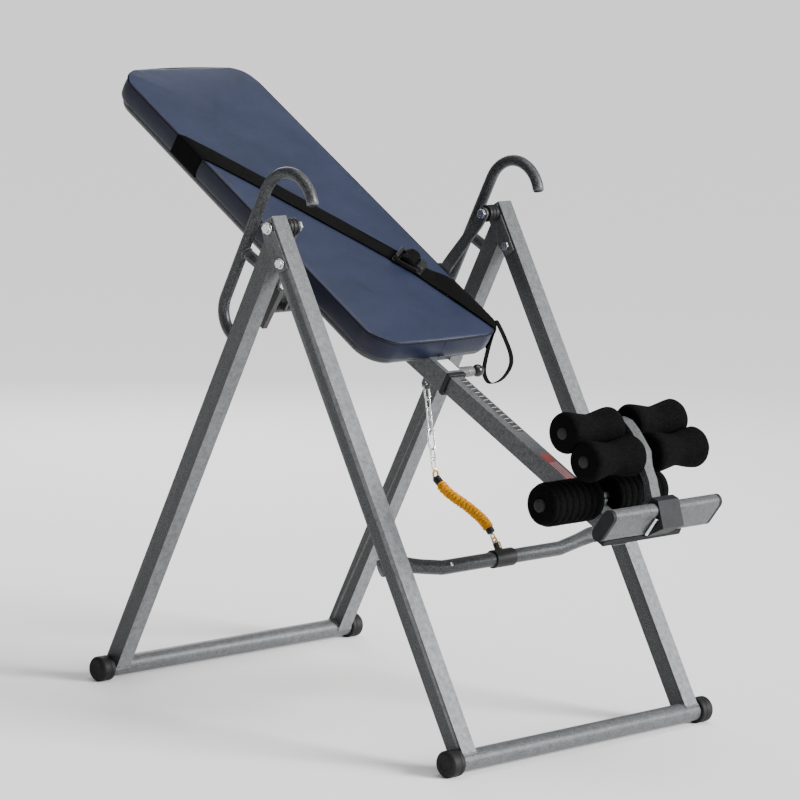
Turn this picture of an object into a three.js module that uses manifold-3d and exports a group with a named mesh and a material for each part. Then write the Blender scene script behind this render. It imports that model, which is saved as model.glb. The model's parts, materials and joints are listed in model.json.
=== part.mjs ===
// Folding inversion table: an A-frame with hook handles, a padded bed hung from two pivot arms,
// a sliding boom with heel rollers, footrest and ankle clamp, and a tether to the crossbar.
// Millimetres. X is to the side, Y runs from the foot end to the head end, Z is up.
import * as THREE from 'three';
import * as BufferGeometryUtils from 'three/addons/utils/BufferGeometryUtils.js';
import Module from 'manifold-3d';

const wasm = await Module();
wasm.setup();

const GAP = 0.3;
const DEG = Math.PI / 180;

// A-frame
const TRACK = 343;
const LEG = 40;
const LEG_WALL = 2;
const HALF_BASE = 540.3;
const BAR_RADIUS = 21.3;
const CAP_RADIUS = 28;
const BAR_HEIGHT = 27.6;
const BAR_END = 399.5;
const CAP_START = 366;
const CAP_END = 403;
const FRONT_LEAN = 30.28 * DEG;
const REAR_LEAN = 26.17 * DEG;
const FRONT_LENGTH = 1206;
const PIVOT_S = 1187;
const FOLD_S = 1106;
const PIVOT_BOLT = 6;
const FOLD_BOLT = 5;
const CROSSBAR_S = 431;
const CROSSBAR_RADIUS = 15.5;

// Table, in a frame at its pivot: a runs along the bed towards the head, b is normal to it
const PAD_TILT = 31.2 * DEG;
const BOOM_TILT = 27.0 * DEG;
const PAD_HALF = 192;
const PAD_HEAD = 742;
const PAD_FOOT = -271;
const PAD_TOP = -117;
const PAD_BOTTOM = -157;
const BOARD = 10;
const LOOP_HALF = 178;
const LOOP_B = -170;
const LOOP_RADIUS = 12.5;
const ARM_THICK = 6;
const ARM_TOP = 283;
const ARM_X = 258;
const ARM_LOW = -250;
const BOOM_B = -206.5;
const BOOM = 40;
const SLEEVE = 48;
const SLEEVE_WALL = 3.5;
const SLEEVE_FOOT = -320;
const SLEEVE_HEAD = 70;
const BOOM_FOOT = -890;
const BOOM_HEAD = -120;
const PIN_A = -303;
const PIN_B = -198;
const STEM_RADIUS = 6;
const EYE_A = -261.5;
const EYE_B = -252;
const HEEL = { a: -792.3, b: -174 };
const UPPER = { a: -765.5, b: -15 };
const LOWER = { a: -842, b: -32 };
const LEVER_PIN = { a: -904, b: -150 };
const REST_BAR = { a: -945.2, b: -116.7, tilt: 9.3 * DEG, long: 77, thick: 30, half: 158, wall: 2 };
const CLAMP_HALF = 32;
const LEVER_HALF = 13;
const PIN_RADIUS = 5;
const PLATE = { half: 118, front: -932, back: -905, top: -171, bottom: -184 };
const ANKLE_TUBE = 11;
const ROLLER_START = 23;
const ROLLER_END = 172;
const ROLLER_RADIUS = 43;
const ROLLER_WAIST = 33;
const HEEL_AXLE = 8;
const HEEL_RADIUS = 46;
const CROSS = { a: 30, b: -246.5, radius: 11 };
const BRACKET = { thick: 3, inner: LEG / 2 + GAP, webLow: 1118, webTop: 1172, back: 23.5 };
const STRAP_WIDTH = 50;
const BUCKLE = { x: 96, a: -20 };
const STRAP_ENDS = { strap_long: { x: -PAD_HALF, a: 444 }, strap_short: { x: PAD_HALF, a: -229 } };
const TAIL = { x: PAD_HALF + 6, half: 6, thick: 1 };
const TAIL_ROUTE = [[-73, 835], [-63, 803], [-50, 762], [-42, 722], [-52, 700], [-70, 696],
  [-98, 710], [-120, 738], [-121, 764], [-104, 795], [-84, 822]];

// Tether, in the machine's own Y and Z
const ELASTIC_ROUTE = [[-99, 509.5], [-140, 482.5], [-200, 459.5], [-245, 437.5]];
const ELASTIC_RADIUS = 12;
const CHAIN_RADIUS = 6;
const HOOK_RADIUS = 4;

const looks = {
  frame: { color: 0x6b6e72, roughness: 0.45, metalness: 0.6 },
  zinc: { color: 0xb9bbbd, roughness: 0.3, metalness: 0.9 },
  rubber: { color: 0x151515, roughness: 0.8, metalness: 0 },
  plastic: { color: 0x202124, roughness: 0.5, metalness: 0 },
  slate: { color: 0x45494f, roughness: 0.5, metalness: 0 },
  vinyl: { color: 0x2d3350, roughness: 0.45, metalness: 0 },
  wood: { color: 0xa98a5f, roughness: 0.8, metalness: 0 },
  webbing: { color: 0x26282a, roughness: 0.9, metalness: 0 },
  foam: { color: 0x101011, roughness: 0.95, metalness: 0 },
  elastic: { color: 0xe8ac17, roughness: 0.8, metalness: 0 },
};

// ---- general helpers ----

function piece(group, name, geometry, look) {
  const mesh = new THREE.Mesh(geometry, new THREE.MeshStandardMaterial(looks[look]));
  mesh.name = name;
  group.add(mesh);
  return mesh;
}

function box(x0, x1, y0, y1, z0, z1) {
  const geometry = new THREE.BoxGeometry(x1 - x0, y1 - y0, z1 - z0);
  return geometry.translate((x0 + x1) / 2, (y0 + y1) / 2, (z0 + z1) / 2);
}

// A round bar along X between x0 and x1, its axis at (y, z)
function barX(radius, x0, x1, y = 0, z = 0, sides = 24) {
  const geometry = new THREE.CylinderGeometry(radius, radius, Math.abs(x1 - x0), sides);
  return geometry.rotateZ(-Math.PI / 2).translate((x0 + x1) / 2, y, z);
}

// A lathe whose axis is X: the profile lists [radius, x]
function latheX(profile, y = 0, z = 0, sides = 24) {
  const points = profile.map(([radius, x]) => new THREE.Vector2(radius, x));
  return new THREE.LatheGeometry(points, sides).rotateZ(-Math.PI / 2).translate(0, y, z);
}

// A flat outline of [y, z] points pulled along X from x0 to x1
function slabX(outline, x0, x1) {
  const isShape = outline instanceof THREE.Shape;
  const shape = isShape ? outline : new THREE.Shape(outline.map(([y, z]) => new THREE.Vector2(y, z)));
  const options = { depth: x1 - x0, bevelEnabled: false, curveSegments: 8 };
  const geometry = new THREE.ExtrudeGeometry(shape, options);
  const turn = new THREE.Matrix4().makeBasis(
    new THREE.Vector3(0, 1, 0), new THREE.Vector3(0, 0, 1), new THREE.Vector3(1, 0, 0));
  return geometry.applyMatrix4(turn).translate(x0, 0, 0);
}

function toSolid(geometry) {
  const bare = geometry.clone();
  bare.deleteAttribute('normal');
  bare.deleteAttribute('uv');
  const merged = BufferGeometryUtils.mergeVertices(bare, 1e-4);
  return new wasm.Manifold(new wasm.Mesh({
    numProp: 3,
    vertProperties: Float32Array.from(merged.attributes.position.array),
    triVerts: Uint32Array.from(merged.index.array),
  }));
}

function toGeometry(solid) {
  const mesh = solid.getMesh();
  const geometry = new THREE.BufferGeometry();
  geometry.setAttribute('position', new THREE.BufferAttribute(mesh.vertProperties, 3));
  geometry.setIndex(new THREE.BufferAttribute(mesh.triVerts, 1));
  geometry.computeVertexNormals();
  return geometry;
}

function join(...geometries) {
  return toGeometry(geometries.map(toSolid).reduce((sum, part) => sum.add(part)));
}

function cut(geometry, ...tools) {
  return toGeometry(tools.map(toSolid).reduce((rest, tool) => rest.subtract(tool), toSolid(geometry)));
}

function overlap(first, second) {
  return toGeometry(toSolid(first).intersect(toSolid(second)));
}

// A polyline with rounded corners: each corner is a cubic arc of the given radius
function bentPath(points, radius) {
  const path = new THREE.CurvePath();
  let last = points[0];
  for (let i = 1; i < points.length - 1; i += 1) {
    const inward = points[i].clone().sub(points[i - 1]).normalize();
    const outward = points[i + 1].clone().sub(points[i]).normalize();
    const turn = inward.angleTo(outward);
    const reach = radius * Math.tan(turn / 2);
    const handle = (4 / 3) * Math.tan(turn / 4) * radius;
    const start = points[i].clone().addScaledVector(inward, -reach);
    const end = points[i].clone().addScaledVector(outward, reach);
    path.add(new THREE.LineCurve3(last, start));
    path.add(new THREE.CubicBezierCurve3(start, start.clone().addScaledVector(inward, handle),
      end.clone().addScaledVector(outward, -handle), end));
    last = end;
  }
  path.add(new THREE.LineCurve3(last, points[points.length - 1]));
  return path;
}

// A round rod along a path
function rodAlong(path, radius, steps, sides = 12) {
  const section = new THREE.Shape();
  for (let i = 0; i < sides; i += 1) {
    const angle = (i * 2 * Math.PI) / sides;
    const x = radius * Math.cos(angle);
    const y = radius * Math.sin(angle);
    if (i === 0) section.moveTo(x, y);
    else section.lineTo(x, y);
  }
  section.closePath();
  return new THREE.ExtrudeGeometry(section, { steps, bevelEnabled: false, extrudePath: path });
}

function hexBolt(group, name, side, radius, acrossFlats, headX, nutX, y, z) {
  const hexRadius = acrossFlats / Math.sqrt(3);
  const shank = barX(radius, nutX - 3, headX + 4, y, z);
  const washer = barX(acrossFlats * 0.68, headX, headX + 2, y, z);
  const head = barX(hexRadius, headX + 1.9, headX + 8, y, z, 6);
  const nut = barX(hexRadius, nutX - 8, nutX, y, z, 6);
  piece(group, name, onSide(side, join(shank, washer, head, nut)), 'zinc');
}

// Geometry made for the right side, mirrored across the middle plane for the left side
function onSide(side, geometry) {
  if (side > 0) return geometry;
  geometry.applyMatrix4(new THREE.Matrix4().makeScale(-1, 1, 1));
  const index = geometry.index.array;
  for (let i = 0; i < index.length; i += 3) {
    [index[i], index[i + 1]] = [index[i + 1], index[i]];
  }
  geometry.computeVertexNormals();
  return geometry;
}

const sides = [{ side: -1, tag: 'left' }, { side: 1, tag: 'right' }];

// The span from inner to outer distance on one side of the middle plane
function span(side, inner, outer) {
  return side > 0 ? [inner, outer] : [-outer, -inner];
}

// ---- A-frame ----

const machine = new THREE.Group();
const frontFrame = new THREE.Group();
frontFrame.position.set(0, -HALF_BASE, BAR_HEIGHT);
frontFrame.rotation.x = -FRONT_LEAN;
const rearFrame = new THREE.Group();
rearFrame.position.set(0, HALF_BASE, BAR_HEIGHT);
rearFrame.rotation.x = REAR_LEAN;
machine.add(frontFrame, rearFrame);
machine.updateMatrixWorld(true);

// Places geometry made in one group's frame into another group's frame
function carried(geometry, from, to) {
  const step = to.matrixWorld.clone().invert().multiply(from.matrixWorld);
  return geometry.clone().applyMatrix4(step);
}

function squareTube(x, half, wall, s0, s1, closedTop) {
  const outer = box(x - half, x + half, -half, half, s0, s1);
  const inner = half - wall;
  const top = closedTop ? s1 - wall : s1 + 1;
  return cut(outer, box(x - inner, x + inner, -inner, inner, s0 - 1, top));
}

function frontLeg({ side, tag }) {
  const x = side * TRACK;
  const tube = squareTube(x, LEG / 2, LEG_WALL, 0, FRONT_LENGTH, true);
  const reach = LEG;
  const leg = cut(tube,
    barX(BAR_RADIUS + GAP, x - reach, x + reach, 0, 0, 32),
    barX(PIVOT_BOLT + GAP, x - reach, x + reach, 0, PIVOT_S),
    barX(FOLD_BOLT + GAP, x - reach, x + reach, 0, FOLD_S));
  piece(frontFrame, `front_leg_${tag}`, leg, 'frame');
}

function rearLeg({ side, tag }) {
  const x = side * TRACK;
  const tube = squareTube(x, LEG / 2, LEG_WALL, 0, 1180, false);
  const ahead = box(-500, 500, -400, BRACKET.back + GAP, 900, 1400);
  const leg = cut(tube,
    barX(BAR_RADIUS + GAP, x - LEG, x + LEG, 0, 0, 32),
    carried(ahead, frontFrame, rearFrame));
  piece(rearFrame, `rear_leg_${tag}`, leg, 'frame');
}

// U bracket on the rear leg: its cheeks straddle the front leg and hook over the pivot bolt
function foldBracket({ side, tag }) {
  const { thick, inner, webLow, webTop, back } = BRACKET;
  const x = side * TRACK;
  const outer = inner + thick;
  const front = -15;
  const cheek = [[front, FOLD_S - 18], [13, FOLD_S - 18], [back, webLow - 2], [back, webTop],
    [17, FRONT_LENGTH - 4], [front, FRONT_LENGTH - 4]];
  const bracket = join(
    slabX(cheek, x - outer, x - inner),
    slabX(cheek, x + inner, x + outer),
    box(x - outer, x + outer, inner + GAP / 2, back, webLow, webTop));
  const slotRadius = PIVOT_BOLT + 0.8;
  const slot = [[0, PIVOT_S + slotRadius], [front - 1, PIVOT_S + slotRadius],
    [front - 1, PIVOT_S - slotRadius - 5], [0, PIVOT_S - slotRadius]];
  const drilled = cut(bracket,
    barX(FOLD_BOLT + GAP, x - 30, x + 30, 0, FOLD_S),
    barX(slotRadius, x - 30, x + 30, 0, PIVOT_S),
    slabX(slot, x - 30, x + 30));
  piece(rearFrame, `fold_bracket_${tag}`, carried(drilled, frontFrame, rearFrame), 'plastic');
}

function baseTube(group, name) {
  const outer = barX(BAR_RADIUS, -BAR_END, BAR_END, 0, 0, 32);
  const bore = barX(BAR_RADIUS - LEG_WALL, -BAR_END - 1, BAR_END + 1, 0, 0, 32);
  piece(group, name, cut(outer, bore), 'frame');
}

// Rubber end cap with a rounded rim and a narrow flat tread where it stands on the floor
function footCap(group, name, side, lean) {
  const bore = BAR_RADIUS + GAP;
  const profile = [[bore, CAP_START], [CAP_RADIUS - 2, CAP_START], [CAP_RADIUS, CAP_START + 3],
    [CAP_RADIUS, CAP_END - 4], [CAP_RADIUS - 4, CAP_END], [0, CAP_END],
    [0, BAR_END + GAP], [bore, BAR_END + GAP], [bore, CAP_START]];
  const cap = latheX(profile, 0, 0, 32);
  const tread = box(0, 500, -50, 50, -50, -BAR_HEIGHT);
  piece(group, name, onSide(side, cut(cap, tread)).rotateX(-lean), 'rubber');
}

// Crossbar between the backs of the front legs: a round tube, dipped in the middle, whose ends
// are pressed flat against the legs
function crossbar() {
  const y = LEG / 2 + GAP + 8;
  const dip = 17;
  const ends = [[180, -dip], [TRACK - 60, 0], [TRACK + 18, 0]];
  const points = [...ends.map(([x, s]) => [-x, s]).reverse(), ...ends]
    .map(([x, s]) => new THREE.Vector3(x, 0, s));
  const bar = rodAlong(bentPath(points, 60), CROSSBAR_RADIUS, 26, 12);
  const position = bar.attributes.position;
  for (let i = 0; i < position.count; i += 1) {
    const x = Math.abs(position.getX(i));
    const flat = THREE.MathUtils.smoothstep(x, TRACK - 110, TRACK - 30);
    const thin = THREE.MathUtils.lerp(1, 7.5 / CROSSBAR_RADIUS, flat);
    const middle = THREE.MathUtils.lerp(y + 7.5, y, flat);
    position.setY(i, middle + position.getY(i) * thin);
    position.setZ(i, CROSSBAR_S + position.getZ(i) * THREE.MathUtils.lerp(1, 1.2, flat));
  }
  piece(frontFrame, 'crossbar', bar, 'frame');
  return { y: y + 7.5, s: CROSSBAR_S - dip };
}

// Plastic collar round the crossbar with an eye for the tether hook
function tetherClip({ y, s }) {
  const outer = CROSSBAR_RADIUS + 4;
  const ring = join(barX(outer, -30, 30, y, s, 24),
    box(-5, 5, y - 7, y + 7, s + outer - 3, s + outer + 15));
  const clip = cut(ring, barX(CROSSBAR_RADIUS + GAP, -40, 40, y, s, 24),
    barX(3.6, -20, 20, y, s + outer + 8, 12));
  piece(frontFrame, 'tether_clip', clip, 'plastic');
  return { y, s: s + outer + 8 };
}

function pivotHardware({ side, tag }) {
  const face = TRACK + LEG / 2 + BRACKET.thick + 2 * GAP;
  hexBolt(frontFrame, `pivot_bolt_${tag}`, side, PIVOT_BOLT, 19, face, ARM_TOP - GAP, 0, PIVOT_S);
  const nutFace = TRACK - LEG / 2 - BRACKET.thick - 2 * GAP;
  hexBolt(frontFrame, `fold_bolt_${tag}`, side, FOLD_BOLT, 17, face, nutFace, 0, FOLD_S);
  const start = ARM_TOP + ARM_THICK + GAP;
  const end = nutFace;
  const ribs = 3;
  const pitch = (end - start) / ribs;
  const profile = [[PIVOT_BOLT + GAP, start]];
  for (let i = 0; i < ribs; i += 1) {
    const x = start + i * pitch;
    profile.push([19, x], [19, x + pitch * 0.6]);
    if (i < ribs - 1) profile.push([16.5, x + pitch * 0.6], [16.5, x + pitch]);
  }
  profile.push([19, end], [PIVOT_BOLT + GAP, end], [PIVOT_BOLT + GAP, start]);
  const bushing = latheX(profile, 0, PIVOT_S, 20);
  piece(frontFrame, `pivot_bushing_${tag}`, onSide(side, bushing), 'plastic');
}

// Hook handle on the back of the rear leg: out, up beside the leg, and over the top in a hook
function handle({ side, tag }) {
  const x = side * TRACK;
  const offset = 83;
  const low = 860;
  const bend = 62;
  const hookRadius = 76;
  const hookBase = 1186;
  const hookTurn = 142 * DEG;
  const tube = 12.5;
  const path = new THREE.CurvePath();
  const at = (y, z) => new THREE.Vector3(x, y, z);
  const lowPart = bentPath([at(LEG / 2 + GAP, low), at(offset, low), at(offset, hookBase)], bend);
  lowPart.curves.forEach((curve) => path.add(curve));
  const arcs = 3;
  const step = hookTurn / arcs;
  const hold = (4 / 3) * Math.tan(step / 4) * hookRadius;
  const centre = offset - hookRadius;
  for (let i = 0; i < arcs; i += 1) {
    const from = i * step;
    const to = from + step;
    const p = at(centre + hookRadius * Math.cos(from), hookBase + hookRadius * Math.sin(from));
    const q = at(centre + hookRadius * Math.cos(to), hookBase + hookRadius * Math.sin(to));
    path.add(new THREE.CubicBezierCurve3(p, at(p.y - hold * Math.sin(from), p.z + hold * Math.cos(from)),
      at(q.y + hold * Math.sin(to), q.z - hold * Math.cos(to)), q));
  }
  const stub = new THREE.CylinderGeometry(tube, tube, offset - LEG / 2 - GAP, 10);
  stub.translate(x, (offset + LEG / 2 + GAP) / 2, 1038);
  piece(rearFrame, `handle_${tag}`, join(rodAlong(path, tube, 32, 10), stub), 'frame');
}

// ---- table ----

const pivot = new THREE.Vector3(0, PIVOT_S * Math.sin(FRONT_LEAN) - HALF_BASE,
  PIVOT_S * Math.cos(FRONT_LEAN) + BAR_HEIGHT);
const bed = new THREE.Group();
bed.position.copy(pivot);
bed.rotation.x = PAD_TILT;
const boomLine = new THREE.Group();
boomLine.position.copy(pivot);
boomLine.rotation.x = BOOM_TILT;
machine.add(bed, boomLine);
machine.updateMatrixWorld(true);

// Rounded outline of the bed in (x, a), grown outwards by grow; its ends bow out a little
function bedShape(grow) {
  const half = PAD_HALF + grow;
  const bow = 5;
  const corner = 62 + grow;
  const handle = corner * 0.45;
  const side = half - corner;
  const head = PAD_HEAD + grow - bow;
  const foot = PAD_FOOT - grow + bow;
  const shape = new THREE.Shape();
  shape.moveTo(-half, foot + corner);
  shape.lineTo(-half, head - corner);
  shape.bezierCurveTo(-half, head - handle, -half + handle, head, -side, head);
  shape.quadraticCurveTo(0, head + 2 * bow, side, head);
  shape.bezierCurveTo(half - handle, head, half, head - handle, half, head - corner);
  shape.lineTo(half, foot + corner);
  shape.bezierCurveTo(half, foot + handle, half - handle, foot, side, foot);
  shape.quadraticCurveTo(0, foot - 2 * bow, -side, foot);
  shape.bezierCurveTo(-half + handle, foot, -half, foot + handle, -half, foot + corner);
  return shape;
}

function bedSlab(grow, b0, b1) {
  const options = { depth: b1 - b0, bevelEnabled: false, curveSegments: 7 };
  return new THREE.ExtrudeGeometry(bedShape(grow), options).translate(0, 0, b0);
}

// Upholstered pad with a recess under it for the plywood board
function padAndBoard() {
  const recess = bedSlab(-8, PAD_BOTTOM - 1, PAD_BOTTOM + BOARD);
  piece(bed, 'bed_pad', cut(bedSlab(0, PAD_BOTTOM, PAD_TOP), recess), 'vinyl');
  piece(bed, 'bed_board', bedSlab(-8 - GAP, PAD_BOTTOM, PAD_BOTTOM + BOARD - GAP), 'wood');
}

// One bent tube under the board, its two ends on the sides of the boom sleeve
function bedFrame() {
  const foot = PAD_FOOT + 21;
  const head = PAD_HEAD - 27;
  const start = SLEEVE / 2 + 0.8;
  const at = (x, a) => new THREE.Vector3(x, a, LOOP_B);
  const points = [at(start, foot), at(LOOP_HALF, foot), at(LOOP_HALF, head), at(-LOOP_HALF, head),
    at(-LOOP_HALF, foot), at(-start, foot)];
  piece(bed, 'bed_frame', rodAlong(bentPath(points, 52), LOOP_RADIUS, 46, 10), 'frame');
}

function crossMember() {
  const end = ARM_X - 4 - GAP;
  const gussets = sides.map(({ side }) => {
    const x = side * LOOP_HALF;
    return box(x - 3, x + 3, CROSS.a - 15, CROSS.a + 15, CROSS.b, LOOP_B - LOOP_RADIUS - GAP);
  });
  const tube = barX(CROSS.radius, -end, end, CROSS.a, CROSS.b, 20);
  piece(bed, 'bed_crossmember', join(tube, ...gussets), 'frame');
}

// Flat bar from the pivot bolt down past the bed: it jogs inwards between its two straight ends
function pivotArm({ side, tag }) {
  const top = 13;
  const shape = new THREE.Shape();
  shape.moveTo(top, 0);
  shape.absarc(0, 0, top, 0, Math.PI, false);
  shape.lineTo(-10, -60);
  shape.lineTo(-8, -130);
  shape.lineTo(-8, ARM_LOW);
  shape.lineTo(24, ARM_LOW);
  shape.lineTo(22, -130);
  shape.lineTo(18, -60);
  shape.closePath();
  const jog = [[ARM_TOP, top + 1], [ARM_TOP, -28], [ARM_X, -148], [ARM_X, ARM_LOW - 1]];
  const outer = jog.map(([x, b]) => [x + ARM_THICK, b - 1]).reverse();
  const edge = new THREE.Shape([...jog, ...outer].map(([x, b]) => new THREE.Vector2(x, b)));
  const bar = new THREE.ExtrudeGeometry(edge, { depth: 100, bevelEnabled: false });
  bar.rotateX(Math.PI / 2).translate(0, 50, 0);
  const arm = overlap(slabX(shape, ARM_X - 10, ARM_TOP + 20), bar);
  const hole = barX(PIVOT_BOLT + GAP, ARM_TOP - 5, ARM_TOP + 15, 0, 0);
  piece(bed, `pivot_arm_${tag}`, onSide(side, cut(arm, hole)), 'frame');
}

// U bracket that closes round the arm beside the bed
function armBracket({ side, tag }) {
  const outline = [[-22, -158], [-22, -258], [40, -258], [40, -184], [31, -158]];
  const [b0, b1] = span(side, ARM_X - 4, ARM_X + ARM_THICK + 4);
  const [s0, s1] = span(side, ARM_X - GAP, ARM_X + ARM_THICK + GAP);
  const slot = [[-8.8, -150], [-8.5, ARM_LOW - GAP], [24.5, ARM_LOW - GAP], [24.5, -150]];
  const lug = span(side, ARM_X + ARM_THICK + 3, ARM_X + ARM_THICK + 9);
  const bracket = join(
    cut(slabX(outline, b0, b1), slabX(slot, s0, s1)),
    barX(6, lug[0], lug[1], 4, -172, 6),
    barX(6, lug[0], lug[1], 6, -238, 6));
  piece(bed, `arm_bracket_${tag}`, bracket, 'plastic');
}

// The body strap lies in a 2 mm layer over the pad's top and down its edges
function strapParts() {
  const outer = bedSlab(2.4, PAD_BOTTOM - 2, PAD_TOP + 2.4);
  const layer = cut(outer, bedSlab(0.4, PAD_BOTTOM - 9, PAD_TOP + 0.4));
  for (const [name, { x, a }] of Object.entries(STRAP_ENDS)) {
    const along = Math.atan2(a - BUCKLE.a, x - BUCKLE.x);
    const corridor = box(4, 1000, -STRAP_WIDTH / 2, STRAP_WIDTH / 2, -400, 0);
    corridor.rotateZ(along).translate(BUCKLE.x, BUCKLE.a, 0);
    piece(bed, name, overlap(layer, corridor), 'webbing');
  }
}

// Side release buckle on the strap, turned to the long strap's direction
function strapBuckle() {
  const { x, a } = STRAP_ENDS.strap_long;
  const turn = Math.atan2(a - BUCKLE.a, x - BUCKLE.x);
  const low = PAD_TOP + 2.4 + GAP;
  const body = join(box(-38, 38, -29, 29, low, low + 9), box(-20, 20, -22, 22, low + 8, low + 13));
  const windows = [-28, 28].map((at) => box(at - 3, at + 3, -24, 24, low - 1, low + 10));
  const buckle = cut(body, ...windows).rotateZ(turn).translate(BUCKLE.x, BUCKLE.a, 0);
  piece(bed, 'strap_buckle', buckle, 'plastic');
}

// The strap's loose end hangs in a narrow loop off the far foot corner of the pad
function strapTail() {
  const local = (y, z) => bed.worldToLocal(new THREE.Vector3(TAIL.x, y, z));
  const points = TAIL_ROUTE.map(([y, z]) => local(y, z));
  const path = new THREE.CatmullRomCurve3(points);
  const { half, thick } = TAIL;
  const corners = [[-thick, -half], [thick, -half], [thick, half], [-thick, half]];
  const section = new THREE.Shape(corners.map(([u, v]) => new THREE.Vector2(u, v)));
  const options = { steps: 30, bevelEnabled: false, extrudePath: path };
  const ribbon = new THREE.ExtrudeGeometry(section, options);
  piece(bed, 'strap_tail', ribbon, 'webbing');
}

function squareRing(outer, inner, a0, a1) {
  const o = outer / 2;
  const i = inner / 2;
  return cut(box(-o, o, a0, a1, BOOM_B - o, BOOM_B + o),
    box(-i, i, a0 - 1, a1 + 1, BOOM_B - i, BOOM_B + i));
}

function sleeveParts() {
  const bore = SLEEVE - 2 * SLEEVE_WALL;
  const tube = cut(squareRing(SLEEVE, bore, SLEEVE_FOOT, SLEEVE_HEAD),
    barX(STEM_RADIUS + 0.6, 15, 30, PIN_A, PIN_B, 16));
  piece(boomLine, 'boom_sleeve', tube, 'frame');
  const collar = squareRing(SLEEVE + 3, BOOM + 1, SLEEVE_FOOT - 12, SLEEVE_FOOT - GAP);
  piece(boomLine, 'sleeve_collar', collar, 'plastic');
  const low = BOOM_B - SLEEVE / 2 - GAP;
  const right = [[13, low], [12, EYE_B - 4], [6, EYE_B - 11]];
  const left = right.map(([a, b]) => [-a, b]).reverse();
  const plate = [...right, ...left].map(([a, b]) => [EYE_A + a, b]).reverse();
  const hole = barX(6, -9, 9, EYE_A, EYE_B, 16);
  piece(boomLine, 'tether_eye', cut(slabX(plate, -2.5, 2.5), hole), 'frame');
}

// Sprung pull pin in its housing on the right side of the sleeve, with a ball knob
function pullPin() {
  const face = SLEEVE / 2 + GAP;
  const bore = STEM_RADIUS + 0.6;
  const housing = [[bore, 0], [15, 0], [15, 6], [11.5, 8], [11.5, 50], [10, 54], [bore, 54], [bore, 0]];
  piece(boomLine, 'pull_pin_housing',
    latheX(housing.map(([radius, x]) => [radius, face + x]), PIN_A, PIN_B, 20), 'plastic');
  const tip = BOOM / 2 + 0.6;
  const knob = [[STEM_RADIUS, 55], [9, 56], [13, 63], [14, 70], [12, 77], [7, 82], [0, 84]];
  const profile = [[0, tip], [STEM_RADIUS - 1, tip], [STEM_RADIUS, tip + 1],
    ...knob.map(([radius, x]) => [radius, face + x])];
  piece(boomLine, 'pull_pin', latheX(profile, PIN_A, PIN_B, 20), 'rubber');
}

// ---- boom with heel rollers, footrest and ankle clamp ----

function boomTube() {
  const tube = squareRing(BOOM, BOOM - 5, BOOM_FOOT, BOOM_HEAD);
  piece(boomLine, 'boom_tube', tube, 'frame');
}

function heelParts() {
  const { a, b } = HEEL;
  const top = BOOM_B + BOOM / 2 + GAP;
  const axleEnd = ROLLER_END + 12;
  const post = box(-16, 16, a - 14, a + 14, top, b);
  piece(boomLine, 'heel_axle', join(barX(HEEL_AXLE, -axleEnd, axleEnd, a, b, 16), post), 'frame');
  const bore = HEEL_AXLE + GAP;
  const groove = HEEL_RADIUS - 4;
  const start = 24;
  const ribs = 6;
  const pitch = (ROLLER_END + 4 - start) / ribs;
  for (const { side, tag } of sides) {
    const profile = [[bore, start], [groove, start]];
    for (let i = 0; i < ribs; i += 1) {
      const x = start + i * pitch;
      profile.push([HEEL_RADIUS, x + pitch * 0.25], [HEEL_RADIUS, x + pitch * 0.75]);
      profile.push([groove, x + pitch]);
    }
    profile.push([bore, start + ribs * pitch], [bore, start]);
    piece(boomLine, `heel_roller_${tag}`, onSide(side, latheX(profile, a, b, 20)), 'foam');
  }
}

function stadium(long, thick, grow) {
  const r = thick / 2 + grow;
  const h = long / 2 - thick / 2;
  const shape = new THREE.Shape();
  shape.moveTo(r, -h);
  shape.lineTo(r, h);
  shape.absarc(0, h, r, 0, Math.PI, false);
  shape.lineTo(-r, -h);
  shape.absarc(0, -h, r, Math.PI, 2 * Math.PI, false);
  return shape;
}

function atRest(geometry) {
  return geometry.rotateX(REST_BAR.tilt).translate(0, REST_BAR.a, REST_BAR.b);
}

function footrestParts() {
  const { long, thick, half, wall } = REST_BAR;
  const oval = (grow, x0, x1) => slabX(stadium(long, thick, grow), x0, x1);
  const bar = cut(oval(0, -half, half), oval(-wall, -half - 1, half + 1));
  piece(boomLine, 'footrest_bar', atRest(bar), 'frame');
  for (const { side, tag } of sides) {
    const cap = join(oval(0, ...span(side, half + GAP, half + 9)),
      oval(-wall - GAP, ...span(side, half - 14, half + 5)));
    piece(boomLine, `footrest_cap_${tag}`, atRest(cap), 'slate');
  }
  const pin = new THREE.CylinderGeometry(4, 4, 46, 12).rotateX(Math.PI / 2);
  pin.translate(-CLAMP_HALF - 4 - GAP, -thick / 2 - 4.6, -2);
  piece(boomLine, 'footrest_pin', atRest(pin), 'zinc');
}

// Moulded block that wraps the middle of the footrest bar and stands on the foot plate
function footrestClamp() {
  const { long, thick } = REST_BAR;
  const seat = PLATE.top + GAP;
  const outline = [[-949.8, -69.2], [-989.8, -109.2], [-961, -150], [-940, -160.5], [-931.5, seat],
    [-921.5, seat], [-921.5, -128], [-928.5, -100], [-933, -72]];
  const hole = atRest(slabX(stadium(long, thick, GAP), -CLAMP_HALF - 8, CLAMP_HALF + 8));
  piece(boomLine, 'footrest_clamp', cut(slabX(outline, -CLAMP_HALF, CLAMP_HALF), hole), 'slate');
}

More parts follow.
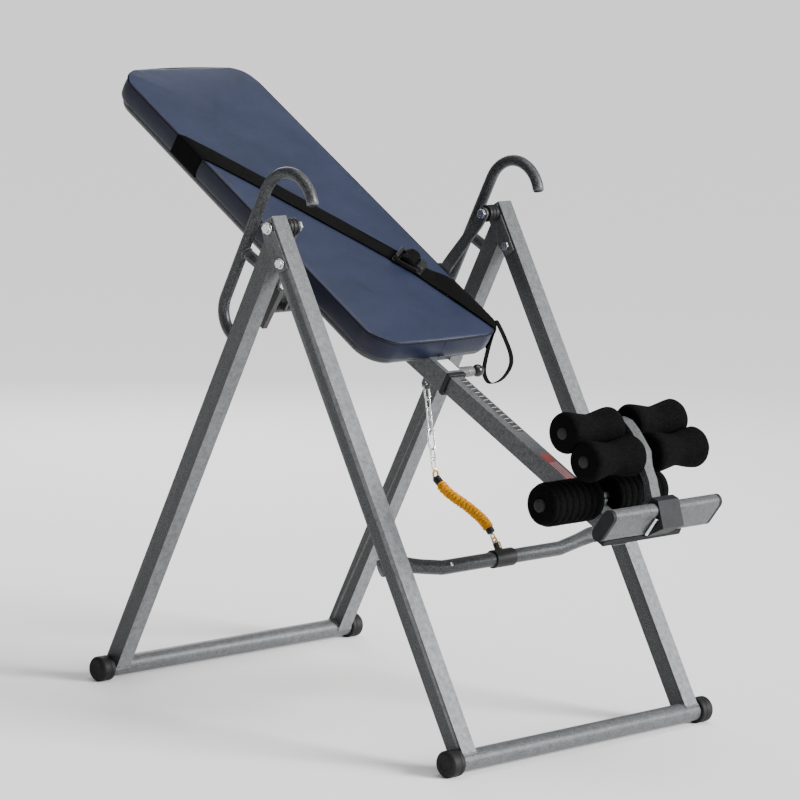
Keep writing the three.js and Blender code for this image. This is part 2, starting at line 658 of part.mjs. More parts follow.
// Foot plate and lever ears: one welded bracket over the end of the boom
function endBracket() {
  const { half, front, back, top, bottom } = PLATE;
  const plate = box(-half, half, front, back, bottom, top);
  const inner = BOOM / 2 + GAP;
  const outline = [[front + 4, -178], [-900, -200], [-858, -212], [-858, -190], [-888, -140],
    [-911, -140], [-918, -170]];
  const ears = sides.map(({ side }) => slabX(outline, ...span(side, inner, inner + 4)));
  const pin = barX(PIN_RADIUS, -inner - 8, inner + 8, LEVER_PIN.a, LEVER_PIN.b, 16);
  const spacers = sides.map(({ side }) => barX(PIN_RADIUS + 4, ...span(side, LEVER_HALF + GAP, inner + 1),
    LEVER_PIN.a, LEVER_PIN.b, 16));
  piece(boomLine, 'end_bracket', join(plate, ...ears, ...spacers, pin), 'slate');
}

function ankleLever() {
  const front = [[-915, -130], [-922, -101], [-924.5, -87], [-896, -58], [-873, -42], [-853, -16],
    [-806, 3], [-780, 9], [-759, 4]];
  const back = [[-746, -8], [-750, -31], [-790, -35], [-822, -49], [-848, -52], [-864, -57],
    [-886, -71], [-907, -100], [-902, -128], [-893, -148], [-898, -159], [-910, -159], [-914, -148]];
  const lever = slabX([...front, ...back].reverse(), -LEVER_HALF, LEVER_HALF);
  const holes = [UPPER, LOWER].map(({ a, b }) => barX(ANKLE_TUBE + GAP, -30, 30, a, b, 20));
  const pinHole = barX(PIN_RADIUS + GAP, -30, 30, LEVER_PIN.a, LEVER_PIN.b, 20);
  piece(boomLine, 'ankle_lever', cut(lever, ...holes, pinHole), 'frame');
}

// Space on the far side of the plane halfway between the two ankle tubes
function pressedSpace(own, other) {
  const reach = 200;
  const across = new THREE.Vector2(other.a - own.a, other.b - own.b);
  const space = box(-reach, reach, across.length() / 2 - GAP / 2, reach, -reach, reach);
  return space.rotateX(across.angle()).translate(0, own.a, own.b);
}

// Ankle tube with two waisted foam rollers, pressed flat where they meet those of the other tube
function ankleTube(name, own, other) {
  const tubeEnd = ROLLER_END + 6;
  const tube = barX(ANKLE_TUBE, -tubeEnd, tubeEnd, own.a, own.b, 20);
  piece(boomLine, `ankle_tube_${name}`, tube, 'plastic');
  const bore = ANKLE_TUBE + GAP;
  const rim = ROLLER_RADIUS - 6;
  const first = ROLLER_START + 4;
  const last = ROLLER_END - 4;
  const bands = 8;
  const profile = [[bore, ROLLER_START], [rim, ROLLER_START]];
  for (let i = 0; i <= bands; i += 1) {
    const t = i / bands;
    const wave = 0.5 - 0.5 * Math.cos(2 * Math.PI * t);
    const round = i === 0 || i === bands ? 1.5 : 0;
    const radius = THREE.MathUtils.lerp(ROLLER_RADIUS, ROLLER_WAIST, wave) - round;
    profile.push([radius, THREE.MathUtils.lerp(first, last, t)]);
  }
  profile.push([rim, ROLLER_END], [bore, ROLLER_END], [bore, ROLLER_START]);
  for (const { side, tag } of sides) {
    const roller = cut(latheX(profile, own.a, own.b, 20), pressedSpace(own, other));
    piece(boomLine, `ankle_roller_${name}_${tag}`, onSide(side, roller), 'foam');
  }
}

// ---- tether: chain, elastic cord and hook between the sleeve's eye and the crossbar collar ----

function tether(clipEye) {
  const eye = boomLine.localToWorld(new THREE.Vector3(0, EYE_A, EYE_B - 18));
  const hook = frontFrame.localToWorld(new THREE.Vector3(0, clipEye.y, clipEye.s));
  const hookStart = new THREE.Vector3(0, hook.y + 16, hook.z + 20);
  const route = ELASTIC_ROUTE.map(([y, z]) => new THREE.Vector3(0, y, z));
  const from = (point, y, z) => new THREE.Vector3(0, point.y + y, point.z + z);
  const chain = new THREE.LineCurve3(eye, from(route[0], 4, 9));
  piece(machine, 'tether_chain', rodAlong(chain, CHAIN_RADIUS, 2, 8), 'zinc');
  const bulge = new THREE.CatmullRomCurve3([...route, from(hookStart, 3, 6)]);
  piece(machine, 'tether_elastic', rodAlong(bulge, ELASTIC_RADIUS, 16, 10), 'elastic');
  const link = new THREE.LineCurve3(hookStart, from(hook, 5, 11));
  piece(machine, 'tether_hook', rodAlong(link, HOOK_RADIUS, 1, 8), 'zinc');
}

// ---- assembly ----

for (const each of sides) {
  frontLeg(each);
  rearLeg(each);
  foldBracket(each);
  pivotHardware(each);
  handle(each);
  footCap(frontFrame, `front_foot_cap_${each.tag}`, each.side, -FRONT_LEAN);
  footCap(rearFrame, `rear_foot_cap_${each.tag}`, each.side, REAR_LEAN);
  pivotArm(each);
  armBracket(each);
}
baseTube(frontFrame, 'front_base_tube');
baseTube(rearFrame, 'rear_base_tube');
const clipEye = tetherClip(crossbar());
padAndBoard();
bedFrame();
crossMember();
strapParts();
strapBuckle();
strapTail();
sleeveParts();
pullPin();
boomTube();
heelParts();
footrestParts();
footrestClamp();
endBracket();
ankleLever();
ankleTube('upper', UPPER, LOWER);
ankleTube('lower', LOWER, UPPER);
tether(clipEye);

// The origin is on the floor under the middle of the machine's box
const bounds = new THREE.Box3().setFromObject(machine, true);
machine.position.y = -(bounds.min.y + bounds.max.y) / 2;

export default machine;
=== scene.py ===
import json
import math

import bmesh
import bpy
from mathutils import Matrix, Vector, noise


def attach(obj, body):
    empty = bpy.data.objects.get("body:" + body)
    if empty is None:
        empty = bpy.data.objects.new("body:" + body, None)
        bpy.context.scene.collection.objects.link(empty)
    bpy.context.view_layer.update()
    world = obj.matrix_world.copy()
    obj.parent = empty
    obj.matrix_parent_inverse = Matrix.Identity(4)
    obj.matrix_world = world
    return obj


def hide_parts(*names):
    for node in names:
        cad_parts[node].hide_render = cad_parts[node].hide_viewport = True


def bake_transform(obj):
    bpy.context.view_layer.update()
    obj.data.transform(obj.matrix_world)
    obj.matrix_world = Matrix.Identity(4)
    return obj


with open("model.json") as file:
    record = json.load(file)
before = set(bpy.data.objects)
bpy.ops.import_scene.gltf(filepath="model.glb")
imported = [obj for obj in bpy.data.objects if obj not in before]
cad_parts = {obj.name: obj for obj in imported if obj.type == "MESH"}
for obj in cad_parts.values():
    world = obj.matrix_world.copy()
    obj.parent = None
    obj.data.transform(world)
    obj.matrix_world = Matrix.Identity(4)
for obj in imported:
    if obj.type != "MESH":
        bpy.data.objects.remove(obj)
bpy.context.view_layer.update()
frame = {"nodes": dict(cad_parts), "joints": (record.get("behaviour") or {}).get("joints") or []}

NODES = frame["nodes"]
JOINTS = {joint["name"]: joint for joint in frame["joints"]}
SIDES = [("left", -1), ("right", 1)]

# ---- the machine's own frames, in metres ----
# SHIFT_Y is how far the CAD was moved to put the middle of its box over the origin.
SHIFT_Y = -0.000007
BAR_HEIGHT = 0.0276
FRONT_LEAN = math.radians(30.28)
REAR_LEAN = math.radians(26.17)
PAD_TILT = math.radians(31.2)
BOOM_TILT = math.radians(27.0)
HALF_BASE = 0.5403
PIVOT = Vector(JOINTS["table_tilt"]["pos_m"])


def frame_at(origin, angle):
    return Matrix.Translation(origin) @ Matrix.Rotation(angle, 4, "X")


FRONT = frame_at((0, -HALF_BASE + SHIFT_Y, BAR_HEIGHT), -FRONT_LEAN)
REAR = frame_at((0, HALF_BASE + SHIFT_Y, BAR_HEIGHT), REAR_LEAN)
BED = frame_at(PIVOT, PAD_TILT)
BOOM = frame_at(PIVOT, BOOM_TILT)
WORLD = Matrix.Identity(4)

# The two leg frames: x across, y square to the legs, z up the legs from the base tube's middle.
# LEG_FACE and BASE_RADIUS lie 0.3 mm outside the tubes, where the next piece starts.
TRACK = 0.343
LEG_FACE = 0.0203
BASE_RADIUS = 0.0216
TUBE_RADIUS = 0.0125
PIVOT_HEIGHT = 1.187
CROSSBAR_Y = 0.0283
CROSSBAR_HEIGHT = 0.431
CROSSBAR_DIP = 0.017
CROSSBAR_RADIUS = 0.0155

# The bed, in the bed's frame: x across, y (called a) along it towards the head, z (called b) above it.
PAD_HALF = 0.192
PAD_HEAD = 0.742
PAD_FOOT = -0.271
PAD_TOP = -0.117
PAD_BOTTOM = -0.157
PAD_SKIRT = -0.1655
PAD_CORNER = 0.066
PAD_END_GAP = 0.003
PAD_EDGE_DROP = 0.0035
CROWN = 0.0045
STRAP_WIDTH = 0.050
STRAP_LIFT = 0.0028
STRAP_LONG_END = (-PAD_HALF, 0.444)
STRAP_SHORT_END = (PAD_HALF, -0.229)
BUCKLE = (0.096, -0.020)

# The boom's pieces, in the boom's frame: heights b of two top faces, and (a, b) places.
BOOM_FACE = -0.1865
SLEEVE_FACE = -0.1825
HEEL = (-0.7923, -0.174)
UPPER = (-0.7655, -0.015)
LOWER = (-0.842, -0.032)
PULL_PIN = (-0.303, -0.198)
TETHER_EYE = (-0.2615, -0.252)


# ---- camera ----
def add_camera():
    """The photograph's viewpoint, worked out from the machine's parallel and upright tubes."""
    azimuth, elevation, roll = (math.radians(v) for v in (-45.18, 8.54, 1.785))
    back = Vector((math.sin(azimuth) * math.cos(elevation),
                   -math.cos(azimuth) * math.cos(elevation), math.sin(elevation)))
    right = Vector((math.cos(azimuth), math.sin(azimuth), 0))
    up = back.cross(right)
    side = right * math.cos(roll) + up * math.sin(roll)
    top = up * math.cos(roll) - right * math.sin(roll)
    turn = Matrix((side, top, back)).transposed().to_4x4()
    data = bpy.data.cameras.new("camera")
    data.lens = 165.4
    data.sensor_width = 36.0
    data.clip_end = 400.0
    camera = bpy.data.objects.new("camera", data)
    bpy.context.scene.collection.objects.link(camera)
    camera.matrix_world = Matrix.Translation((-5.5866, -5.5340 + SHIFT_Y, 1.8472)) @ turn
    bpy.context.scene.camera = camera


add_camera()


# ---- materials ----
def ramp_stops(ramp, stops):
    elements = ramp.color_ramp.elements
    while len(elements) > len(stops):
        elements.remove(elements[-1])
    while len(elements) < len(stops):
        elements.new(1.0)
    for element, (place, colour) in zip(elements, stops):
        element.position = place
        element.color = (*colour, 1)


class Finish:
    """A principled material whose colour, roughness and bump come from procedural textures."""

    def __init__(self, name, metallic=0.0, **inputs):
        self.material = bpy.data.materials.new(name)
        self.material.use_nodes = True
        self.tree = self.material.node_tree
        self.shader = self.tree.nodes["Principled BSDF"]
        self.shader.inputs["Metallic"].default_value = metallic
        for key, value in inputs.items():
            self.shader.inputs[key.replace("_", " ")].default_value = value
        self.place = self.tree.nodes.new("ShaderNodeTexCoord").outputs["Object"]
        self.bump_out = None

    def link(self, a, b):
        self.tree.links.new(a, b)

    def noise(self, scale, detail=4.0, rough=0.6):
        node = self.tree.nodes.new("ShaderNodeTexNoise")
        node.inputs["Scale"].default_value = scale
        node.inputs["Detail"].default_value = detail
        node.inputs["Roughness"].default_value = rough
        self.link(self.place, node.inputs["Vector"])
        return node.outputs["Fac"]

    def cells(self, scale, feature="F1"):
        node = self.tree.nodes.new("ShaderNodeTexVoronoi")
        node.feature = feature
        node.inputs["Scale"].default_value = scale
        self.link(self.place, node.inputs["Vector"])
        return node.outputs["Distance"]

    def wave(self, scale, turn=(0, 0, 0), distortion=0.0):
        mapping = self.tree.nodes.new("ShaderNodeMapping")
        mapping.inputs["Rotation"].default_value = turn
        self.link(self.place, mapping.inputs["Vector"])
        node = self.tree.nodes.new("ShaderNodeTexWave")
        node.inputs["Scale"].default_value = scale
        node.inputs["Distortion"].default_value = distortion
        self.link(mapping.outputs["Vector"], node.inputs["Vector"])
        return node.outputs["Fac"]

    def multiply(self, a, b):
        node = self.tree.nodes.new("ShaderNodeMath")
        node.operation = "MULTIPLY"
        self.link(a, node.inputs[0])
        self.link(b, node.inputs[1])
        return node.outputs[0]

    def colour(self, source, stops):
        ramp = self.tree.nodes.new("ShaderNodeValToRGB")
        ramp_stops(ramp, stops)
        self.link(source, ramp.inputs["Fac"])
        self.link(ramp.outputs["Color"], self.shader.inputs["Base Color"])
        return self

    def roughness(self, source, low, high):
        node = self.tree.nodes.new("ShaderNodeMapRange")
        node.inputs["To Min"].default_value = low
        node.inputs["To Max"].default_value = high
        self.link(source, node.inputs["Value"])
        self.link(node.outputs["Result"], self.shader.inputs["Roughness"])
        return self

    def bump(self, source, depth, strength=1.0):
        node = self.tree.nodes.new("ShaderNodeBump")
        node.inputs["Distance"].default_value = depth
        node.inputs["Strength"].default_value = strength
        self.link(source, node.inputs["Height"])
        if self.bump_out is not None:
            self.link(self.bump_out, node.inputs["Normal"])
        self.bump_out = node.outputs["Normal"]
        self.link(self.bump_out, self.shader.inputs["Normal"])
        return self


def edge_wear(finish, colour):
    """Lightens the paint a little where the surface turns sharply."""
    geometry = finish.tree.nodes.new("ShaderNodeNewGeometry")
    ramp = finish.tree.nodes.new("ShaderNodeValToRGB")
    ramp_stops(ramp, [(0.52, (0, 0, 0)), (0.60, (1, 1, 1))])
    finish.link(geometry.outputs["Pointiness"], ramp.inputs["Fac"])
    mix = finish.tree.nodes.new("ShaderNodeMix")
    mix.data_type = "RGBA"
    base = finish.shader.inputs["Base Color"].links[0].from_socket
    patches = finish.multiply(ramp.outputs["Color"], finish.noise(90, 3))
    finish.link(patches, mix.inputs["Factor"])
    finish.link(base, mix.inputs["A"])
    mix.inputs["B"].default_value = (*colour, 1)
    finish.link(mix.outputs["Result"], finish.shader.inputs["Base Color"])
    return finish


def hammertone():
    finish = Finish("frame_paint", metallic=0.1, Specular_IOR_Level=0.3, Coat_Weight=0.05,
                    Coat_Roughness=0.35)
    flecks = finish.noise(430, 4, 0.75)
    finish.colour(flecks, [(0.38, (0.006, 0.0065, 0.007)), (0.51, (0.028, 0.030, 0.032)),
                           (0.63, (0.105, 0.110, 0.115))])
    finish.roughness(finish.noise(420, 2), 0.30, 0.50)
    finish.bump(finish.cells(520, "SMOOTH_F1"), 0.00035, 0.55)
    finish.bump(flecks, 0.00012, 0.5)
    return edge_wear(finish, (0.24, 0.25, 0.26)).material


def vinyl(name, dark, light):
    finish = Finish(name, Specular_IOR_Level=0.3, Coat_Weight=0.05, Coat_Roughness=0.35)
    finish.colour(finish.noise(9, 5, 0.65), [(0.32, dark), (0.68, light)])
    finish.roughness(finish.noise(35, 3), 0.36, 0.52)
    finish.bump(finish.cells(900, "DISTANCE_TO_EDGE"), 0.00022, 0.5)
    return finish.bump(finish.noise(14, 4), 0.0016, 0.25).material


def webbing():
    finish = Finish("webbing", Specular_IOR_Level=0.05)
    along = finish.wave(330, (0, 0, 0.55))
    across = finish.wave(330, (0, 0, 0.55 + math.pi / 2))
    weave = finish.multiply(along, across)
    finish.colour(weave, [(0.0, (0.0012, 0.0013, 0.0012)), (1.0, (0.0055, 0.006, 0.0052))])
    finish.roughness(finish.noise(200, 2), 0.62, 0.85)
    return finish.bump(weave, 0.0005, 0.7).material


def foam():
    finish = Finish("foam", Specular_IOR_Level=0.04)
    pores = finish.cells(1050)
    finish.colour(finish.noise(430, 4, 0.8), [(0.42, (0.0002, 0.0002, 0.0002)),
                                              (0.68, (0.0105, 0.0105, 0.011))])
    finish.roughness(finish.noise(80, 2), 0.80, 0.97)
    finish.bump(pores, 0.0009, 0.8)
    return finish.bump(finish.noise(420, 5, 0.75), 0.0009, 0.8).material


def moulded(name, dark, light, low=0.38, high=0.6, grain=900, depth=0.00008, **inputs):
    """A plain finish between two colours, with roughness from low to high and a fine grain."""
    finish = Finish(name, **inputs)
    finish.colour(finish.noise(40, 4), [(0.3, dark), (0.7, light)])
    finish.roughness(finish.noise(120, 3), low, high)
    return finish.bump(finish.noise(grain, 2), depth, 0.8).material


def zinc():
    finish = Finish("zinc", metallic=1.0)
    finish.colour(finish.noise(160, 4), [(0.3, (0.52, 0.53, 0.54)), (0.7, (0.80, 0.81, 0.82))])
    finish.roughness(finish.noise(240, 3), 0.16, 0.38)
    return finish.bump(finish.noise(700, 2), 0.00006, 0.6).material


def plywood():
    finish = Finish("plywood", Specular_IOR_Level=0.3)
    rings = finish.wave(9, (0, 0, 0.2), 6.0)
    finish.colour(rings, [(0.1, (0.34, 0.22, 0.11)), (0.9, (0.56, 0.40, 0.23))])
    finish.roughness(finish.noise(30, 3), 0.6, 0.8)
    return finish.bump(finish.noise(220, 4), 0.0003, 0.5).material


def ruched():
    finish = Finish("ruched_elastic", Sheen_Weight=0.05, Specular_IOR_Level=0.1)
    finish.colour(finish.noise(240, 4), [(0.30, (0.42, 0.15, 0.001)), (0.62, (0.78, 0.34, 0.003))])
    finish.roughness(finish.noise(300, 2), 0.55, 0.8)
    return finish.bump(finish.wave(420, (0.4, 0.5, 0.7), 2.0), 0.0006, 0.7).material


PAINT = hammertone()
VINYL_TOP = vinyl("vinyl_top", (0.008, 0.012, 0.030), (0.013, 0.018, 0.042))
# The same vinyl again, darker: painted shade on the pad's side walls, which get less light than the top.
VINYL_SIDE_PAINTED_SHADE = vinyl("vinyl_side_painted_shade", (0.003, 0.0055, 0.018), (0.005, 0.008, 0.025))
# The pad's vinyl painted almost black for the piping and the foot-end seam: painted shade of the creases
# along the edge and seam.
PIPING_PAINTED_SHADE = moulded("piping", (0.002, 0.0025, 0.006), (0.004, 0.005, 0.010), 0.6, 0.8,
                 Specular_IOR_Level=0.2)
WEBBING = webbing()
FOAM = foam()
RUBBER = moulded("rubber", (0.0025, 0.0025, 0.0028), (0.006, 0.006, 0.0065), 0.5, 0.75, 500, 0.0002,
                 Specular_IOR_Level=0.25)
PLASTIC = moulded("black_plastic", (0.003, 0.003, 0.0033), (0.008, 0.008, 0.0085), 0.38, 0.6,
                  Specular_IOR_Level=0.3)
GLOSS = moulded("ball_plastic", (0.008, 0.008, 0.008), (0.016, 0.016, 0.016), 0.15, 0.3)
SLATE = moulded("slate_plastic", (0.006, 0.0065, 0.008), (0.011, 0.012, 0.014), 0.5, 0.7,
                Specular_IOR_Level=0.22)
BLACK_METAL = moulded("black_metal", (0.010, 0.010, 0.010), (0.022, 0.022, 0.022), 0.3, 0.5)
ZINC = zinc()
GREY = moulded("grey_metal", (0.045, 0.046, 0.048), (0.10, 0.102, 0.105), 0.25, 0.45, Coat_Weight=0.2)
PLUG = moulded("plug", (0.006, 0.006, 0.007), (0.014, 0.014, 0.015), 0.5, 0.7, Specular_IOR_Level=0.25)
BRASS = moulded("brass_plate", (0.50, 0.36, 0.12), (0.74, 0.56, 0.22), 0.2, 0.4)
WOOD = plywood()
YELLOW = ruched()
WELD = moulded("weld", (0.05, 0.052, 0.055), (0.13, 0.135, 0.14), 0.35, 0.6, 400, 0.0006)
INK = moulded("scale_ink", (0.010, 0.010, 0.010), (0.02, 0.02, 0.02), 0.5, 0.7)
LABEL = moulded("plain_label", (0.55, 0.56, 0.57), (0.66, 0.67, 0.68), 0.3, 0.5)
WARNING = moulded("red_label", (0.22, 0.030, 0.028), (0.30, 0.045, 0.04), 0.3, 0.5)


# ---- mesh helpers ----
def new_piece(name, verts, faces, material, body, place=WORLD, smooth=True, stands_for=(), slot=None):
    """A mesh piece that rides on body, if one is named, and replaces the CAD nodes it stands for."""
    mesh = bpy.data.meshes.new(name)
    mesh.from_pydata([place @ Vector(v) for v in verts], [], faces)
    mesh.validate()
    piece = bpy.data.objects.new(name, mesh)
    bpy.context.scene.collection.objects.link(piece)
    bm = bmesh.new()
    bm.from_mesh(mesh)
    bmesh.ops.remove_doubles(bm, verts=bm.verts, dist=1e-6)
    bmesh.ops.recalc_face_normals(bm, faces=bm.faces)
    bm.to_mesh(mesh)
    bm.free()
    if smooth:
        mesh.polygons.foreach_set("use_smooth", [True] * len(mesh.polygons))
    mesh.materials.append(material)
    if body:
        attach(piece, body)
    if stands_for:
        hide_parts(*stands_for)
    return piece


def ring_faces(rings, sides, closed=False):
    """Quads between rings of points; closed joins the last ring to the first."""
    faces = []
    for i in range(rings if closed else rings - 1):
        for j in range(sides):
            k = (i + 1) % rings
            m = (j + 1) % sides
            faces.append((i * sides + j, i * sides + m, k * sides + m, k * sides + j))
    return faces


def rounded(profile, radius, steps=4):
    """A polyline with each inner corner replaced by a short arc."""
    points = [Vector((*p, 0)) for p in profile]
    out = [points[0]]
    for before, corner, after in zip(points, points[1:], points[2:]):
        reach = min(radius, (corner - before).length * 0.45, (after - corner).length * 0.45)
        start = corner + (before - corner).normalized() * reach
        end = corner + (after - corner).normalized() * reach
        for i in range(steps + 1):
            t = i / steps
            out.append(start * (1 - t) ** 2 + corner * 2 * t * (1 - t) + end * t ** 2)
    out.append(points[-1])
    return [(p.x, p.y) for p in out]


def lathe(name, profile, centre, material, body, place=BOOM, side=1, segments=56, wobble=0.0, **kw):
    """Turns a profile of (radius, distance along X) about an X axis through centre (y, z)."""
    verts = []
    for radius, x in profile:
        for j in range(segments):
            angle = 2 * math.pi * j / segments
            spread = radius
            if wobble:
                at = Vector((x * 40, math.cos(angle) * 2, math.sin(angle) * 2))
                spread += wobble * noise.noise(at)
            verts.append((side * x, centre[0] + spread * math.cos(angle),
                          centre[1] + spread * math.sin(angle)))
    faces = ring_faces(len(profile), segments)
    return new_piece(name, verts, faces, material, body, place, **kw)


def bent(points, radius, steps=8):
    """A polyline in 3-D with rounded corners."""
    points = [Vector(p) for p in points]
    out = [points[0]]
    for before, corner, after in zip(points, points[1:], points[2:]):
        inward = (corner - before).normalized()
        outward = (after - corner).normalized()
        turn = inward.angle(outward)
        reach = radius * math.tan(turn / 2)
        handle = 4 / 3 * math.tan(turn / 4) * radius
        p0, p3 = corner - inward * reach, corner + outward * reach
        p1, p2 = p0 + inward * handle, p3 - outward * handle
        for i in range(steps + 1):
            t = i / steps
            out.append(p0 * (1 - t) ** 3 + p1 * 3 * t * (1 - t) ** 2
                       + p2 * 3 * t * t * (1 - t) + p3 * t ** 3)
    out.append(points[-1])
    return out


def smooth_line(points, steps=10):
    """A Catmull-Rom line through the points."""
    points = [Vector(p) for p in points]
    ends = [points[0] * 2 - points[1]] + points + [points[-1] * 2 - points[-2]]
    out = []
    for a, b, c, d in zip(ends, ends[1:], ends[2:], ends[3:]):
        for i in range(steps):
            t = i / steps
            out.append(0.5 * (b * 2 + (c - a) * t + (a * 2 - b * 5 + c * 4 - d) * t ** 2
                              + (b * 3 - a - c * 3 + d) * t ** 3))
    out.append(points[-1])
    return out


def frames_along(path, up=Vector((1, 0, 0))):
    """(point, tangent, normal, binormal) at each point, turned as little as possible."""
    out = []
    normal = up.copy()
    for i, point in enumerate(path):
        tangent = (path[min(i + 1, len(path) - 1)] - path[max(i - 1, 0)]).normalized()
        normal = (normal - tangent * normal.dot(tangent)).normalized()
        out.append((point, tangent, normal, tangent.cross(normal)))
    return out


def rod(name, path, radius, material, body, place=WORLD, sides=24, up=Vector((1, 0, 0)), dome=0.0,
        closed=False, **kw):
    """A round rod along a path. radius is a number or a function of (share of length, angle)."""
    size = radius if callable(radius) else (lambda t, angle: radius)
    rows = frames_along(path, up)
    verts = []
    if closed:
        count = len(rows)
        rows = []
        for i, point in enumerate(path):
            tangent = (path[(i + 1) % count] - path[i - 1]).normalized()
            normal = (up - tangent * up.dot(tangent)).normalized()
            rows.append((point, tangent, normal, tangent.cross(normal)))
    for i, (point, tangent, normal, other) in enumerate(rows):
        t = i / max(1, len(rows) - 1)
        for j in range(sides):
            angle = 2 * math.pi * j / sides
            r = size(t, angle)
            verts.append(point + normal * r * math.cos(angle) + other * r * math.sin(angle))
    faces = ring_faces(len(rows), sides, closed)
    if not closed:
        for end, index in ((0, -1), (len(rows) - 1, 1)):
            point, tangent = rows[end][0], rows[end][1]
            verts.append(point + tangent * index * dome)
            tip = len(verts) - 1
            for j in range(sides):
                faces.append((end * sides + j, end * sides + (j + 1) % sides, tip))
    return new_piece(name, verts, faces, material, body, place, **kw)


def block(name, size, centre, material, body, place=WORLD, bevel=0.0015, segments=3, taper=1.0, **kw):
    """A box with rounded edges; taper narrows its top in X and Y."""
    bm = bmesh.new()
    bmesh.ops.create_cube(bm, size=1)
    for v in bm.verts:
        shrink = taper if v.co.z > 0 else 1.0
        v.co = Vector((v.co.x * size[0] * shrink, v.co.y * size[1] * shrink, v.co.z * size[2]))
    bmesh.ops.bevel(bm, geom=list(bm.edges), offset=bevel, segments=segments, profile=0.5, affect="EDGES")
    verts = [v.co + Vector(centre) for v in bm.verts]
    faces = [[v.index for v in f.verts] for f in bm.faces]
    bm.free()
    return new_piece(name, verts, faces, material, body, place, **kw)


# ---- CAD nodes that keep their shape: rounded edges, smooth shading and a finish ----
def both(stem):
    return [f"{stem}_left", f"{stem}_right"]


def keep(names, material, bevel=0.0012, segments=2, angle=35):
    for name in names:
        node = NODES[name]
        node.data.materials.clear()
        node.data.materials.append(material)
        node.data.polygons.foreach_set("use_smooth", [True] * len(node.data.polygons))
        weld = node.modifiers.new("weld", "WELD")
        weld.merge_threshold = 1e-5
        flat = node.modifiers.new("flat", "DECIMATE")
        flat.decimate_type = "DISSOLVE"
        flat.angle_limit = math.radians(1)
        soft = node.modifiers.new("edges", "BEVEL")
        soft.width = bevel
        soft.segments = segments
        soft.limit_method = "ANGLE"
        soft.angle_limit = math.radians(angle)
        soft.harden_normals = False
        even = node.modifiers.new("normals", "WEIGHTED_NORMAL")
        even.keep_sharp = True


keep(both("front_leg") + both("rear_leg"), PAINT, 0.003, 3)
keep(["boom_tube", "boom_sleeve"], PAINT, 0.003, 3)
keep(["bed_crossmember", "heel_axle"] + both("pivot_arm"), PAINT, 0.0012)
keep(["front_base_tube", "rear_base_tube", "footrest_bar"], PAINT, 0.0006, 2, 50)
keep(["ankle_lever"], PAINT, 0.0025, 3)
keep(["tether_eye"], PAINT, 0.001)
keep(both("fold_bracket"), PAINT, 0.0008)
keep(both("arm_bracket"), BLACK_METAL, 0.001)
keep(["sleeve_collar", "tether_clip"], PLASTIC, 0.0015)
keep(["footrest_clamp", "end_bracket"] + both("footrest_cap"), SLATE, 0.002, 3)
keep(both("pivot_bolt") + both("fold_bolt"), ZINC, 0.0007)
keep(["footrest_pin"], ZINC, 0.0008)
keep(["bed_board"], WOOD, 0.001)


# ---- round tubes, made finer than the CAD ----
def handles():
    """Two hook handles: a stem that stands off the leg, a bend, a hook at the top and a stub below it."""
    offset, low, bend = 0.083, 0.860, 0.062
    hook_base, hook, hook_turn = 1.186, 0.076, math.radians(142)
    stub_height, stub_end = 1.038, 0.075
    centre = offset - hook
    steps = 28
    for tag, side in SIDES:
        x = side * TRACK
        path = bent([(x, LEG_FACE, low), (x, offset, low), (x, offset, hook_base)], bend, 14)
        for i in range(1, steps + 1):
            angle = hook_turn * i / steps
            path.append(Vector((x, centre + hook * math.cos(angle), hook_base + hook * math.sin(angle))))
        rod(f"handle_tube_{tag}", path, TUBE_RADIUS, PAINT, "rear_frame", REAR, 32, dome=0.002,
            stands_for=[f"handle_{tag}"], slot="frame_paint")
        stub = [Vector((x, y, stub_height)) for y in (LEG_FACE, 0.030, 0.045, 0.060, stub_end)]
        rod(f"handle_stub_{tag}", stub, TUBE_RADIUS, PAINT, "rear_frame", REAR, 28, slot="frame_paint")
        tip, before = path[-1], path[-2]
        direction = (tip - before).normalized()
        cap_path = [tip + direction * reach for reach in (0.0005, 0.002, 0.0035)]
        rod(f"handle_plug_{tag}", cap_path, lambda t, angle: 0.0108 - 0.003 * t * t, PLASTIC, "rear_frame",
            REAR, 24, dome=0.0008)
        for k, (y, z) in enumerate(((0.0205, low), (0.0205, stub_height), (0.0705, stub_height))):
            weld_ring(f"handle_weld_{tag}_{k}", (x, y, z), Vector((0, 1, 0)), 0.0128, "rear_frame", REAR)


def weld_ring(name, centre, axis, radius, body, place, thick=0.0022):
    """A rippled bead of weld round a tube's end."""
    centre = Vector(centre)
    first = axis.orthogonal().normalized()
    second = axis.cross(first)
    count = 72
    path = [centre + first * radius * math.cos(2 * math.pi * i / count)
            + second * radius * math.sin(2 * math.pi * i / count) for i in range(count)]
    ripples = 26
    size = lambda t, angle: thick * (0.82 + 0.18 * math.sin(t * 2 * math.pi * ripples))
    rod(name, path, size, WELD, body, place, 8, up=axis, closed=True)


def weld_square(name, x, body, place, thick=0.0024):
    """A bead of weld round the foot of a square leg, following the round base tube under it."""
    path = []
    per_side = 22
    ripples = 34
    corners = [(-1, -1), (1, -1), (1, 1), (-1, 1)]
    for (x0, y0), (x1, y1) in zip(corners, corners[1:] + corners[:1]):
        for i in range(per_side):
            t = i / per_side
            px = LEG_FACE * (x0 + (x1 - x0) * t)
            py = LEG_FACE * (y0 + (y1 - y0) * t)
            path.append(Vector((x + px, py, math.sqrt(max(0, BASE_RADIUS ** 2 - py ** 2)))))
    size = lambda t, angle: thick * (0.8 + 0.2 * math.sin(t * 2 * math.pi * ripples))
    rod(name, path, size, WELD, body, place, 8, up=Vector((0, 0, 1)), closed=True)


def frame_welds():
    for tag, side in SIDES:
        weld_square(f"front_leg_weld_{tag}", side * TRACK, "front_frame", FRONT)
        weld_square(f"rear_leg_weld_{tag}", side * TRACK, "rear_frame", REAR)


